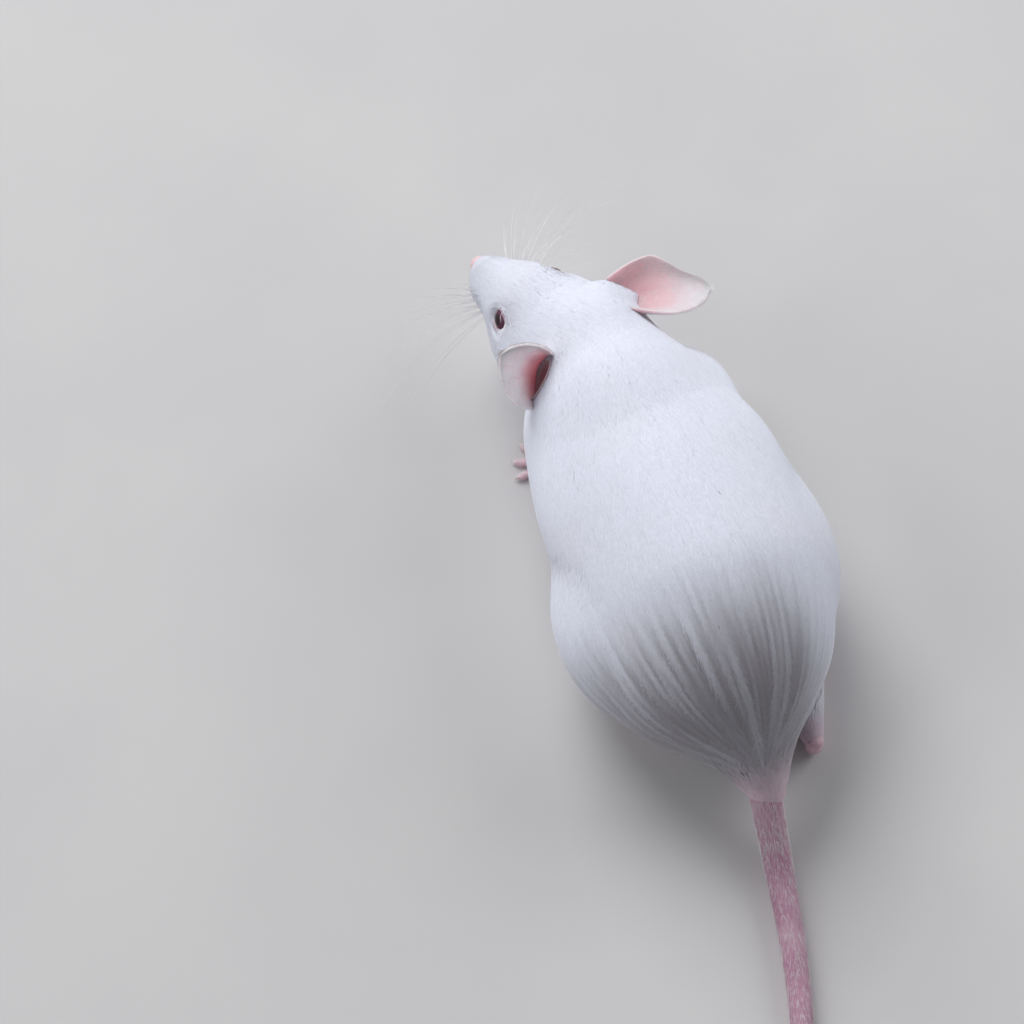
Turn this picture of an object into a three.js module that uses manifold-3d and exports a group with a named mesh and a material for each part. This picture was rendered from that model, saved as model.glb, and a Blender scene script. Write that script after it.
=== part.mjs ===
// A white pet mouse, life size, crouching still on a flat floor.
//
// Millimetres, +Z up. The mouse faces -Y and its left side is +X. The origin is on the floor, under the
// middle of the whole animal's bounding box, tail included. Distances along the trunk are counted forward
// from the tail root.
//
// The flesh is one smooth field: ellipsoids and tapered round cones, melted together. Its zero surface is
// the tip of the coat. A surface net turns the field into a closed mesh, which is cut into the parts that a
// person would name.
import * as THREE from "three";
import { mergeVertices } from "three/addons/utils/BufferGeometryUtils.js";
import Module from "manifold-3d";

// ---- Driving dimensions --------------------------------------------------------------------------------
const TAIL_ROOT_Y = 40; // the tail root's place along Y; the trunk is counted forward (-Y) from here
const GAP = 0.3; // air between neighbouring parts
const BODY_STEP = 2.7; // surface net spacing on the trunk
const HEAD_STEP = 2.0; // and on the head, which is finer

const HEAD = {
  pivot: [0.6, 56.8, 13], // the middle of the skull's base: side, forward, height
  yaw: 26, // turned to its left, degrees
  pitch: -1, // nose down
  roll: 3, // left side up
  noseReach: 23.5, // from the pivot to the nose tip
};
const EYE = { back: 10.4, side: 4.2, up: 2.4, radius: 1.7 };
const NOSE = { back: 0.55, up: 0.3, radii: [0.85, 1.22, 0.9] };

// An ear is a blade, wrapped into a tube at its base and opening upward.
// halfWidth is measured along the curve.
const EAR = {
  length: 12.5,
  halfWidth: 5.8,
  baseHalfWidth: 4.2,
  thickness: 0.7,
  baseWrap: 110, // half the angle that the section turns through, degrees
  topWrap: 34,
  bend: 1.3, // the tip's lean away from the opening
};
// Each ear's base and its two directions, all in the head's frame: forward, left, up.
// innerHalf draws in the half of the blade towards the crown, and frontCut the front edge near the tip.
const EARS = {
  left: {
    back: 19.8,
    side: 6.4,
    up: 2.8,
    rises: [0.02, 0.5, 0.86],
    opens: [-0.45, 0.35, 0.8],
    innerHalf: 0.58,
    frontCut: 0,
  },
  right: {
    back: 19.6,
    side: -6.4,
    up: 4,
    rises: [-0.55, -0.74, 0.25],
    opens: [0.25, 0.06, 0.85],
    innerHalf: 1,
    frontCut: 0.4,
  },
};

const FOREFOOT = { palm: 1.5, digit: 0.62, digits: 4, fan: 26, reach: 4.3 };
const HINDFOOT = { sole: 1.7, toe: 0.75, toes: 5, fan: 13, length: 17, toeReach: 6.2 };
// Where each foot stands: wrist or heel (side, forward) and the way it points,
// degrees outward from forward.
const FEET = {
  fore_left: { stands: [8.8, 51], points: 50 },
  fore_right: { stands: [-10.6, 52.5], points: -18 },
  hind_left: { stands: [8.2, 12.5], points: 13 },
  hind_right: { stands: [-7.9, 1.8], points: -14 },
};
const TAIL = {
  length: 76,
  rootRadius: 2.15,
  tipRadius: 0.7,
  rootHeight: 6.6,
  dropsOver: 15, // it comes down to the floor over this length
  heading: 8, // degrees to its left from straight back, and what it turns further by the tip
  curve: 26,
  pieces: 4,
  stationsEach: 4,
};

const wasm = await Module();
wasm.setup();

// ---- Vectors -------------------------------------------------------------------------------------------
const add = (a, b) => [a[0] + b[0], a[1] + b[1], a[2] + b[2]];
const sub = (a, b) => [a[0] - b[0], a[1] - b[1], a[2] - b[2]];
const scale = (a, k) => [a[0] * k, a[1] * k, a[2] * k];
const dot = (a, b) => a[0] * b[0] + a[1] * b[1] + a[2] * b[2];
const length = (a) => Math.sqrt(dot(a, a));
const unit = (a) => scale(a, 1 / length(a));
const cross = (a, b) => [a[1] * b[2] - a[2] * b[1], a[2] * b[0] - a[0] * b[2], a[0] * b[1] - a[1] * b[0]];
const mix = (a, b, t) => a + (b - a) * t;
const smooth = (t) => t * t * (3 - 2 * t);
const radians = (degrees) => (degrees * Math.PI) / 180;

// A place on the trunk: to the left, forward from the tail root, up.
const at = (side, forward, up) => [side, TAIL_ROOT_Y - forward, up];

// ---- Fields: each is a distance to a surface, negative inside ------------------------------------------
// axes, where given, are the ellipsoid's own three unit axes.
function ellipsoid(centre, radii, axes) {
  return (p) => {
    let q = sub(p, centre);
    if (axes) q = [dot(q, axes[0]), dot(q, axes[1]), dot(q, axes[2])];
    const k0 = Math.hypot(q[0] / radii[0], q[1] / radii[1], q[2] / radii[2]);
    const k1 = Math.hypot(q[0] / radii[0] ** 2, q[1] / radii[1] ** 2, q[2] / radii[2] ** 2);
    return k1 < 1e-9 ? -Math.min(...radii) : (k0 * (k0 - 1)) / k1;
  };
}

function roundCone(a, ra, b, rb) {
  const ba = sub(b, a);
  const l2 = dot(ba, ba);
  const rr = ra - rb;
  const a2 = l2 - rr * rr;
  return (p) => {
    const pa = sub(p, a);
    const y = dot(pa, ba);
    const z = y - l2;
    const across = sub(scale(pa, l2), scale(ba, y));
    const x2 = dot(across, across);
    const y2 = y * y * l2;
    const z2 = z * z * l2;
    const k = Math.sign(rr) * rr * rr * x2;
    if (Math.sign(z) * a2 * z2 > k) return Math.sqrt(x2 + z2) / l2 - rb;
    if (Math.sign(y) * a2 * y2 < k) return Math.sqrt(x2 + y2) / l2 - ra;
    return (Math.sqrt((x2 * a2) / l2) + y * rr) / l2 - ra;
  };
}

// Joins fields one after another, each with its own melting width.
function melt(parts) {
  return (p) => {
    let d = Infinity;
    for (const [field, width] of parts) {
      const e = field(p);
      const h = Math.max(width - Math.abs(d - e), 0) / width;
      d = Math.min(d, e) - (Number.isFinite(h) ? (h * h * width) / 4 : 0);
    }
    return d;
  };
}

// ---- The head's own frame ------------------------------------------------------------------------------
function turnedAxes(yaw, pitch, roll) {
  const [y, p, r] = [radians(yaw), radians(pitch), radians(roll)];
  const level = [Math.sin(y), -Math.cos(y), 0];
  const forward = add(scale(level, Math.cos(p)), [0, 0, -Math.sin(p)]);
  const flatLeft = [Math.cos(y), Math.sin(y), 0];
  const flatUp = cross(forward, flatLeft);
  const left = add(scale(flatLeft, Math.cos(r)), scale(flatUp, Math.sin(r)));
  return { forward, left, up: cross(forward, left) };
}
const headAxes = turnedAxes(HEAD.yaw, HEAD.pitch, HEAD.roll);
const headFrame = [headAxes.forward, headAxes.left, headAxes.up];
const noseTip = add(at(...HEAD.pivot), scale(headAxes.forward, HEAD.noseReach));

// A place on the head: back from the nose tip, to the left, up from the muzzle's line.
function onHead(back, side, up) {
  const along = add(scale(headAxes.forward, -back), scale(headAxes.left, side));
  return add(noseTip, add(along, scale(headAxes.up, up)));
}

// ---- The flesh -----------------------------------------------------------------------------------------
const BOTH = [1, -1]; // left, right

function trunkParts() {
  return [
    [ellipsoid(at(-0.6, 23.7, 15.1), [15.9, 16.9, 14.6]), 1], // belly and back
    [ellipsoid(at(1.1, 14, 13.6), [14.1, 12.2, 12.2]), 5], // rump
    [roundCone(at(0, 8, 10.5), 7, at(0.3, -2.1, 6.2), 2.6), 4], // down to the tail root
    [ellipsoid(at(-0.2, 37, 14.8), [16, 15, 13]), 6], // ribs
    [ellipsoid(at(0.9, 47, 13.2), [12.7, 12, 11.2]), 5], // shoulders
    [roundCone(at(0.6, 50, 15.2), 10.2, at(-0.3, 57.6, 15.6), 7.1), 4], // neck
  ];
}

function limbParts() {
  const haunches = [at(11.7, 22.3, 11.3), at(-11.8, 25.5, 11.2)];
  const shoulders = [at(7.2, 48.5, 10.2), at(-10.1, 48.5, 10.2)];
  const wrists = [FEET.fore_left.stands, FEET.fore_right.stands];
  const heels = [FEET.hind_left.stands, FEET.hind_right.stands];
  const knee = ([side, forward]) => at(side * 1.18, forward + 9.2, 6.8);
  const ankle = ([side, forward]) => at(side * 1.02, forward + 1.8, 3.7);
  return BOTH.flatMap((s, i) => [
    [ellipsoid(haunches[i], [7.1, 11.5, 9.6]), 2.5],
    [ellipsoid(shoulders[i], [5, 7.6, 7.6]), 3],
    [roundCone(add(shoulders[i], [1.2 * s, 0, -3.4]), 3.2, at(...wrists[i], 3.2), 2.2), 2], // forearm
    [roundCone(knee(heels[i]), 3, ankle(heels[i]), 1.6), 2], // shank
  ]);
}

function headParts() {
  const parts = [
    [ellipsoid(onHead(19, 0, 1.3), [8.4, 7.7, 7], headFrame), 4], // skull
    [ellipsoid(onHead(13, 0, 0.5), [8.6, 6.1, 5.4], headFrame), 3], // face
    [roundCone(onHead(10, 0, -0.1), 5.1, onHead(2.6, 0, 0.1), 2.4), 3], // muzzle
    [roundCone(onHead(14, 0, -4), 3.6, onHead(5, 0, -2.6), 1.5), 2], // jaw
  ];
  for (const s of BOTH) {
    parts.push([ellipsoid(onHead(15.5, 4.6 * s, -1.6), [6, 3.9, 4.8], headFrame), 3]); // cheek
    parts.push([ellipsoid(onHead(4.6, 1.7 * s, -0.9), [3.2, 2, 2], headFrame), 1.5]); // whisker pad
  }
  return parts;
}

const flesh = melt([...trunkParts(), ...limbParts(), ...headParts()]);

// ---- Surface net ---------------------------------------------------------------------------------------
// One vertex in each cell that the surface crosses, one quad across each grid edge that it crosses.
function surfaceNet(field, low, high, step) {
  const count = low.map((v, i) => Math.ceil((high[i] - v) / step) + 1);
  const place = (i, j, k) => [low[0] + i * step, low[1] + j * step, low[2] + k * step];
  const number = (i, j, k) => (k * count[1] + j) * count[0] + i;
  const value = new Float64Array(count[0] * count[1] * count[2]);
  for (let k = 0; k < count[2]; k++)
    for (let j = 0; j < count[1]; j++)
      for (let i = 0; i < count[0]; i++) value[number(i, j, k)] = field(place(i, j, k));

  const corners = [];
  for (let c = 0; c < 8; c++) corners.push([c & 1, (c >> 1) & 1, (c >> 2) & 1]);
  const edges = [];
  for (let a = 0; a < 8; a++) for (const bit of [1, 2, 4]) if (!(a & bit)) edges.push([a, a | bit]);

  const vertexOf = new Map();
  const positions = [];
  for (let k = 0; k + 1 < count[2]; k++)
    for (let j = 0; j + 1 < count[1]; j++)
      for (let i = 0; i + 1 < count[0]; i++) {
        const values = corners.map(([x, y, z]) => value[number(i + x, j + y, k + z)]);
        let sum = [0, 0, 0];
        let crossings = 0;
        for (const [a, b] of edges) {
          if (values[a] < 0 === values[b] < 0) continue;
          const t = values[a] / (values[a] - values[b]);
          sum = add(sum, corners[a].map((v, n) => mix(v, corners[b][n], t)));
          crossings++;
        }
        if (!crossings) continue;
        vertexOf.set(number(i, j, k), positions.length / 3);
        positions.push(...onSurface(field, add(place(i, j, k), scale(sum, step / crossings)), step));
      }

  const faces = [];
  const quad = (a, b, c, d, flip) => faces.push(...(flip ? [a, c, b, a, d, c] : [a, b, c, a, c, d]));
  const ways = [[1, 0, 0], [0, 1, 0], [0, 0, 1]];
  for (let k = 1; k + 1 < count[2]; k++)
    for (let j = 1; j + 1 < count[1]; j++)
      for (let i = 1; i + 1 < count[0]; i++)
        ways.forEach((way, axis) => {
          const inside = value[number(i, j, k)] < 0;
          const next = value[number(i + way[0], j + way[1], k + way[2])] < 0;
          if (inside === next) return;
          const [u, v] = [ways[(axis + 1) % 3], ways[(axis + 2) % 3]];
          const cell = (m, n) =>
            vertexOf.get(number(i - u[0] * m - v[0] * n, j - u[1] * m - v[1] * n, k - u[2] * m - v[2] * n));
          quad(cell(0, 0), cell(1, 0), cell(1, 1), cell(0, 1), !inside);
        });
  return closed(positions, faces);
}

// Slides a point along the field's slope until it lies on the surface, at most half a step.
function onSurface(field, start, step) {
  let p = start;
  const e = 0.01;
  for (let turn = 0; turn < 3; turn++) {
    const d = field(p);
    const slope = [0, 1, 2].map((n) => {
      const q = [...p];
      q[n] += e;
      return (field(q) - d) / e;
    });
    p = sub(p, scale(slope, d / Math.max(dot(slope, slope), 0.1)));
  }
  const moved = sub(p, start);
  const most = step / 2;
  return length(moved) > most ? add(start, scale(moved, most / length(moved))) : p;
}

// ---- Closed meshes and solids --------------------------------------------------------------------------
function closed(positions, faces) {
  return new THREE.BufferGeometry()
    .setAttribute("position", new THREE.Float32BufferAttribute(positions, 3))
    .setIndex(faces);
}

function solidOf(geometry) {
  const bare = geometry.clone();
  bare.deleteAttribute("normal");
  bare.deleteAttribute("uv");
  const merged = mergeVertices(bare, 1e-4);
  return new wasm.Manifold(
    new wasm.Mesh({
      numProp: 3,
      vertProperties: merged.attributes.position.array,
      triVerts: new Uint32Array(merged.index.array),
    }),
  );
}

function geometryOf(solid) {
  const mesh = solid.getMesh();
  const positions = [];
  for (let i = 0; i < mesh.numVert; i++)
    positions.push(...mesh.vertProperties.subarray(i * mesh.numProp, i * mesh.numProp + 3));
  const geometry = closed(positions, Array.from(mesh.triVerts));
  geometry.computeVertexNormals();
  return geometry;
}

// The largest piece of a solid, without crumbs that a cut may leave.
function largest(solid) {
  return solid.decompose().sort((a, b) => b.volume() - a.volume())[0];
}

// Everything on the far side of a plane, as a large box whose near face is the plane.
function beyond(point, direction) {
  const size = 300;
  const turn = new THREE.Quaternion().setFromUnitVectors(
    new THREE.Vector3(0, 0, 1),
    new THREE.Vector3(...unit(direction)),
  );
  const box = new THREE.BoxGeometry(size, size, size).translate(0, 0, size / 2).applyQuaternion(turn);
  return solidOf(box.translate(...point));
}

function ball(centre, radii, across = 12, down = 8) {
  const round = new THREE.SphereGeometry(1, across, down).scale(...radii).translate(...centre);
  return solidOf(round);
}

// A tapering tube with pointed ends through a list of { place, radius }. A squash below 1 flattens it.
function tube(stations, sides, squash = 1) {
  const positions = [];
  const faces = [];
  const last = stations.length - 1;
  const run = stations.map((s, i) =>
    unit(sub(stations[Math.min(i + 1, last)].place, stations[Math.max(i - 1, 0)].place)),
  );
  stations.forEach(({ place, radius }, i) => {
    const side = unit(cross(run[i], [0, 0, 1]));
    const rise = cross(side, run[i]);
    for (let n = 0; n < sides; n++) {
      const a = (2 * Math.PI * n) / sides;
      const out = add(scale(side, radius * Math.cos(a)), scale(rise, radius * squash * Math.sin(a)));
      positions.push(...add(place, out));
    }
  });
  const ends = [0, last].map((i, e) => {
    const tip = add(stations[i].place, scale(run[i], (e ? 0.7 : -0.7) * stations[i].radius));
    positions.push(...tip);
    return positions.length / 3 - 1;
  });
  for (let n = 0; n < sides; n++) {
    const m = (n + 1) % sides;
    for (let i = 0; i < last; i++) {
      const [a, b, c, d] = [i * sides + n, i * sides + m, (i + 1) * sides + m, (i + 1) * sides + n];
      faces.push(a, c, b, a, d, c);
    }
    faces.push(ends[0], n, m, ends[1], last * sides + m, last * sides + n);
  }
  return closed(positions, faces);
}

// ---- The whole flesh and the cuts through it -----------------------------------------------------------
const bodyLow = [-25.2, -46.2, -2.7];
const bodyHigh = [24, 46, 36];
const headLow = [-14.3, -46.3, -0.8];
const headHigh = [26, -4, 36];
const floor = beyond([0, 0, 0], [0, 0, 1]);

// Planes across the body, front to back; each faces forward.
const planes = {
  occiput: { point: onHead(21.5, 0, 0), facing: headAxes.forward },
  collar: { point: at(0.4, 54, 15), facing: unit([0.28, -1, -0.05]) },
  ribs: { point: at(0, 40, 15), facing: [0, -1, 0] },
  loin: { point: at(0, 21, 15), facing: [0, -1, 0] },
};
const facing = (point, direction) => beyond(add(point, scale(unit(direction), GAP / 2)), direction);
const ahead = (plane) => facing(plane.point, plane.facing);
const behind = (plane) => facing(plane.point, scale(plane.facing, -1));

// The head's own finer net needs an end of its own, a little behind the cut.
const { point: headEnd, facing: headFacing } = planes.occiput;
const headOnly = (p) => Math.max(flesh(p), dot(sub(headEnd, p), headFacing) - 2);

const trunkWhole = solidOf(surfaceNet(flesh, bodyLow, bodyHigh, BODY_STEP)).intersect(floor);
const headWhole = solidOf(surfaceNet(headOnly, headLow, headHigh, HEAD_STEP));
const fleshGrown = solidOf(surfaceNet((p) => flesh(p) - GAP, bodyLow, bodyHigh, BODY_STEP * 0.7));

// Round cutters that part the limbs from the trunk: centre, radii.
const LIMBS = {
  haunch_left: [at(15.5, 21.5, 8), [8.4, 12.4, 12.6]],
  haunch_right: [at(-15.6, 24.5, 8), [8.4, 12.4, 12.6]],
  foreleg_left: [at(12.6, 50, 5.5), [6.6, 8.6, 9.4]],
  foreleg_right: [at(-13.2, 50.5, 5.5), [6, 8.6, 9.4]],
};
const grown = ([centre, radii]) => ball(centre, radii.map((r) => r + GAP));

// ---- The head's features -------------------------------------------------------------------------------
const eyeAt = (s) => onHead(EYE.back, EYE.side * s, EYE.up);
const noseAt = onHead(NOSE.back, 0, NOSE.up);

function nosePad(radii) {
  const turn = new THREE.Matrix4().makeBasis(...headFrame.map((a) => new THREE.Vector3(...a)));
  const pad = new THREE.SphereGeometry(1, 8, 6).scale(...radii).applyMatrix4(turn);
  return solidOf(pad.translate(...noseAt));
}

function makeHead() {
  let head = headWhole.intersect(ahead(planes.occiput));
  for (const s of BOTH) head = head.subtract(ball(eyeAt(s), Array(3).fill(EYE.radius + GAP)));
  return largest(head.subtract(nosePad(NOSE.radii.map((r) => r + GAP))));
}

function makeEar({ back, side, up, rises, opens, innerHalf, frontCut }) {
  const headWay = (v) => unit(headFrame.reduce((sum, axis, n) => add(sum, scale(axis, v[n])), [0, 0, 0]));
  const rise = headWay(rises);
  const open = unit(sub(headWay(opens), scale(rise, dot(headWay(opens), rise))));
  const wide = cross(rise, open);
  const base = onHead(back, side, up);
  const rows = 8;
  const columns = 8;
  const front = [];
  const rear = [];
  for (let i = 0; i <= rows; i++) {
    const t = i / rows;
    const spread = mix(EAR.baseHalfWidth, EAR.halfWidth, Math.sin(Math.min(t / 0.55, 1) * (Math.PI / 2)));
    const half = spread * Math.sqrt(Math.max(1 - Math.max(t / 0.5 - 1, 0) ** 1.7, 0.01));
    const wrap = radians(mix(EAR.topWrap, EAR.baseWrap, (1 - t) ** 1.6));
    const radius = half / wrap;
    const middle = add(base, add(scale(rise, EAR.length * t), scale(open, -EAR.bend * t * t)));
    const cut = frontCut * THREE.MathUtils.smoothstep(t, 0.45, 0.85);
    for (let j = 0; j <= columns; j++) {
      const across = (2 * j) / columns - 1;
      const a = wrap * across;
      const out = add(scale(wide, Math.sin(a)), scale(open, -Math.cos(a)));
      const reach = radius * mix(1, innerHalf, Math.max(across, 0)) * (1 - cut * Math.max(-across, 0));
      const inner = add(middle, scale(add(open, out), reach));
      front.push(...inner);
      rear.push(...add(inner, scale(out, EAR.thickness)));
    }
  }
  return solidOf(shell(front, rear, rows, columns)).subtract(fleshGrown);
}

// Two grids of points joined along their borders into one closed sheet of flesh.
function shell(front, rear, rows, columns) {
  const wide = columns + 1;
  const behindBy = front.length / 3;
  const faces = [];
  const number = (i, j) => i * wide + j;
  for (let i = 0; i < rows; i++)
    for (let j = 0; j < columns; j++) {
      const [a, b, c, d] = [number(i, j), number(i, j + 1), number(i + 1, j + 1), number(i + 1, j)];
      faces.push(a, b, c, a, c, d);
      faces.push(...[a, c, b, a, d, c].map((n) => n + behindBy));
    }
  const rim = [];
  for (let j = 0; j < columns; j++) rim.push(number(0, j));
  for (let i = 0; i < rows; i++) rim.push(number(i, columns));
  for (let j = columns; j > 0; j--) rim.push(number(rows, j));
  for (let i = rows; i > 0; i--) rim.push(number(i, 0));
  rim.forEach((a, n) => {
    const b = rim[(n + 1) % rim.length];
    faces.push(b, a, a + behindBy, b, a + behindBy, b + behindBy);
  });
  return closed([...front, ...rear], faces);
}

// ---- Feet ----------------------------------------------------------------------------------------------
// Direction on the floor, degrees outward to the left from forward.
const heading = (degrees) => [Math.sin(radians(degrees)), -Math.cos(radians(degrees)), 0];
const lifted = (p, height) => [p[0], p[1], height];

function digit(start, way, reach, radius) {
  const shape = [[0, 1.1, 0.9], [0.5, 0.95, 1.2], [1, 0.8, 0.6]];
  const stations = shape.map(([t, thick, rise]) => ({
    place: lifted(add(start, scale(way, reach * t)), radius * rise),
    radius: radius * thick,
  }));
  return solidOf(tube(stations, 5));
}

function makeForefoot({ stands: [side, forward], points }) {
  const wrist = at(side, forward, 0);
  const way = heading(points);
  const palm = [[-0.5, 2.6, 1], [0.9, 1.7, 1.1], [2.2, 1, 1.05], [3, 0.85, 0.8]].map(([t, height, wide]) => ({
    place: lifted(add(wrist, scale(way, t)), height),
    radius: FOREFOOT.palm * wide,
  }));
  let foot = solidOf(tube(palm, 7, 0.75));
  for (let n = 0; n < FOREFOOT.digits; n++) {
    const spread = n - (FOREFOOT.digits - 1) / 2;
    const across = heading(points + 90);
    const knuckle = add(add(wrist, scale(way, 2.1)), scale(across, spread * 0.75));
    foot = foot.add(digit(knuckle, heading(points + spread * FOREFOOT.fan), FOREFOOT.reach, FOREFOOT.digit));
  }
  return largest(foot.intersect(floor).subtract(fleshGrown));
}

function makeHindfoot({ stands: [side, forward], points }) {
  const heel = at(side, forward, 0);
  const way = heading(points);
  const sole = [[0.6, 1.5, 0.85], [3, 1.3, 0.95], [7, 1.1, 1], [10.5, 0.95, 1.1], [12, 0.8, 0.9]].map(
    ([t, height, wide]) => ({
      place: lifted(add(heel, scale(way, t)), height),
      radius: HINDFOOT.sole * wide,
    }),
  );
  let foot = solidOf(tube(sole, 7, 0.85));
  for (let n = 0; n < HINDFOOT.toes; n++) {
    const spread = n - (HINDFOOT.toes - 1) / 2;
    const across = heading(points + 90);
    const back = Math.abs(spread) === 2 ? 2.2 : 0; // the outer two toes start nearer the heel
    const knuckle = add(
      add(heel, scale(way, HINDFOOT.length - HINDFOOT.toeReach - back)),
      scale(across, spread * 0.72),
    );
    foot = foot.add(digit(knuckle, heading(points + spread * HINDFOOT.fan), HINDFOOT.toeReach, HINDFOOT.toe));
  }
  return largest(foot.intersect(floor).subtract(fleshGrown));
}

// ---- Tail ----------------------------------------------------------------------------------------------
// Stations from the root to the tip. The tail drops to the floor behind the rump,
// then bends slowly leftward.
function tailStations() {
  const count = TAIL.pieces * TAIL.stationsEach;
  const stations = [];
  let place = at(0.2, 1.2, TAIL.rootHeight);
  const pace = TAIL.length / count;
  for (let i = 0; i <= count; i++) {
    const t = i / count;
    const radius = mix(TAIL.rootRadius, TAIL.tipRadius, t ** 0.8);
    const drop = smooth(Math.min((t * TAIL.length) / TAIL.dropsOver, 1));
    const lying = radius * 0.93; // pressed a little flat underneath
    stations.push({ place: lifted(place, mix(TAIL.rootHeight, lying, drop)), radius });
    const turn = TAIL.heading + TAIL.curve * smooth(t);
    place = add(place, scale([Math.sin(radians(turn)), Math.cos(radians(turn)), 0], pace));
  }
  return stations;
}

function makeTail() {
  const stations = tailStations();
  const whole = solidOf(tube(stations, 8)).intersect(floor).subtract(fleshGrown);
  const cuts = [];
  for (let n = 1; n < TAIL.pieces; n++) {
    const here = stations[n * TAIL.stationsEach].place;
    const next = stations[n * TAIL.stationsEach + 1].place;
    cuts.push({ point: here, facing: sub(next, here) });
  }
  return Array.from({ length: TAIL.pieces }, (_, n) => {
    let piece = whole;
    if (n > 0) piece = piece.intersect(ahead(cuts[n - 1]));
    if (n < cuts.length) piece = piece.intersect(behind(cuts[n]));
    return largest(piece);
  });
}

// ---- The model -----------------------------------------------------------------------------------------
const finish = (color, roughness) => ({ color, roughness, metalness: 0 });
const COAT = finish(0xe9ebef, 0.85);
const BARE = finish(0xd9a9a8, 0.6);
const PALE = finish(0xe3c3c4, 0.65);
const EYES = finish(0x3a0f16, 0.08);

const group = new THREE.Group();
group.name = "white_mouse";
function place(name, solid, look) {
  const mesh = new THREE.Mesh(geometryOf(solid), new THREE.MeshStandardMaterial({ ...look, name }));
  mesh.name = name;
  group.add(mesh);
}

const limbCutters = Object.values(LIMBS).map(grown);
const withoutLimbs = limbCutters.reduce((solid, cutter) => solid.subtract(cutter), trunkWhole);
const behindHead = behind(planes.occiput);

place("head", makeHead(), COAT);
place("nose", nosePad(NOSE.radii), BARE);
place("neck", largest(withoutLimbs.intersect(behindHead).intersect(ahead(planes.collar))), COAT);
place("chest", largest(withoutLimbs.intersect(behind(planes.collar)).intersect(ahead(planes.ribs))), COAT);
place("belly", largest(withoutLimbs.intersect(behind(planes.ribs)).intersect(ahead(planes.loin))), COAT);
place("rump", largest(withoutLimbs.intersect(behind(planes.loin))), COAT);
for (const [name, cutter] of Object.entries(LIMBS))
  place(name, largest(trunkWhole.intersect(ball(...cutter)).intersect(behindHead)), COAT);
for (const [side, s] of [["left", 1], ["right", -1]]) {
  place(`eye_${side}`, ball(eyeAt(s), Array(3).fill(EYE.radius)), EYES);
  place(`ear_${side}`, largest(makeEar(EARS[side])), PALE);
  place(`forefoot_${side}`, makeForefoot(FEET[`fore_${side}`]), BARE);
  place(`hindfoot_${side}`, makeHindfoot(FEET[`hind_${side}`]), BARE);
}
makeTail().forEach((piece, n) => place(`tail_${n + 1}`, piece, BARE));

// The origin goes to the floor under the middle of the whole animal.
const box = new THREE.Box3().setFromObject(group);
const middle = box.getCenter(new THREE.Vector3());
group.position.set(-middle.x, -middle.y, -box.min.z);

export default group;
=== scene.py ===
"""A white pet mouse, life size, crouching still on a plain floor.

Shapes are worked out in millimetres in the mouse's own frame: +Z up, facing -Y, its left side +X,
distances along the trunk counted forward from the tail root. Meshes are moved to the frame of the
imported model, in metres, when they are made. The flesh is one smooth field whose zero surface is the
coat's outside. The skin lies inside it by the coat's depth, and tufts fill the room between.
"""
import math

import bpy
import numpy as np
from mathutils import Matrix, Vector


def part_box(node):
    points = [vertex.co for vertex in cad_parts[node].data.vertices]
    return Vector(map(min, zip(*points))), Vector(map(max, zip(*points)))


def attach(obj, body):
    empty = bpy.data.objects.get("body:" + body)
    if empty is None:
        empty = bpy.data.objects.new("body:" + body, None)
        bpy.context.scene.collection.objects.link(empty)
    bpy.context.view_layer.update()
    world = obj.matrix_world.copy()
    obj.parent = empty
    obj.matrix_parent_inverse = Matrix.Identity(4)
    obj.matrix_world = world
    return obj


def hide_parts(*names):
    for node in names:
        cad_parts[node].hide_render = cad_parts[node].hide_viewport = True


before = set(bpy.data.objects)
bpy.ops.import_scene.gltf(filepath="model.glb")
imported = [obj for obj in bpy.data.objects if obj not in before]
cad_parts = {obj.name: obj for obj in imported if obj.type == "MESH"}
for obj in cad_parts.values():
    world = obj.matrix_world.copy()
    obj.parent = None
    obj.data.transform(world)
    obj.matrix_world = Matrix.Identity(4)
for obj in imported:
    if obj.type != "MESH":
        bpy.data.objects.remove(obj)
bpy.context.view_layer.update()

rng = np.random.default_rng(11)

# ---- Sizes, in millimetres and degrees -----------------------------------------------------------
MM = 0.001
TAIL_ROOT_Y = 40
HEAD = {"pivot": (0.6, 56.8, 13), "yaw": 26, "pitch": -1, "roll": 3, "nose_reach": 23.5}
EYE = {"back": 10.4, "side": 4.2, "up": 2.4, "radius": 1.7}
NOSE = {"back": 0.55, "up": 0.3, "radii": (0.82, 1.2, 0.86)}
EAR = {
    "length": 12.5,
    "half_width": 5.8,
    "base_half_width": 4.2,
    "thickness": 0.45,
    "base_wrap": 110,
    "top_wrap": 34,
    "bend": 1.3,
}
EARS = {
    "left": {
        "back": 19.8,
        "side": 6.4,
        "up": 2.8,
        "rises": (0.02, 0.5, 0.86),
        "opens": (-0.45, 0.35, 0.8),
        "inner_half": 0.58,  # the half towards the crown is drawn in
        "front_cut": 0.0,  # and the front edge near the tip
        "hollow": (4.8, 1.0, -1.0),  # along the ear, out of its opening, across it
        "hollow_radii": (2.4, 1.0, 2.6),
        "blush_and_shade": (0.9, 5.5),  # how red it is painted low in its bowl, partly its own redness and partly painted shade, and how far that reaches
        "collar": (-112, 82),  # degrees round the hollow, from its opening side
    },
    "right": {
        "back": 19.6,
        "side": -6.4,
        "up": 4,
        "rises": (-0.55, -0.74, 0.25),
        "opens": (0.25, 0.06, 0.85),
        "inner_half": 1.0,
        "front_cut": 0.4,
        "hollow": (4.6, 1.4, 0.4),
        "hollow_radii": (1.2, 0.9, 1.5),
        "blush_and_shade": (0.95, 11),
    },
}
FEET = {
    "fore_left": {"stands": (8.8, 51), "points": 50},
    "fore_right": {"stands": (-10.6, 52.5), "points": -18},
    "hind_left": {"stands": (8.2, 12.5), "points": 13},
    "hind_right": {"stands": (-7.9, 1.8), "points": -14},
}
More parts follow.
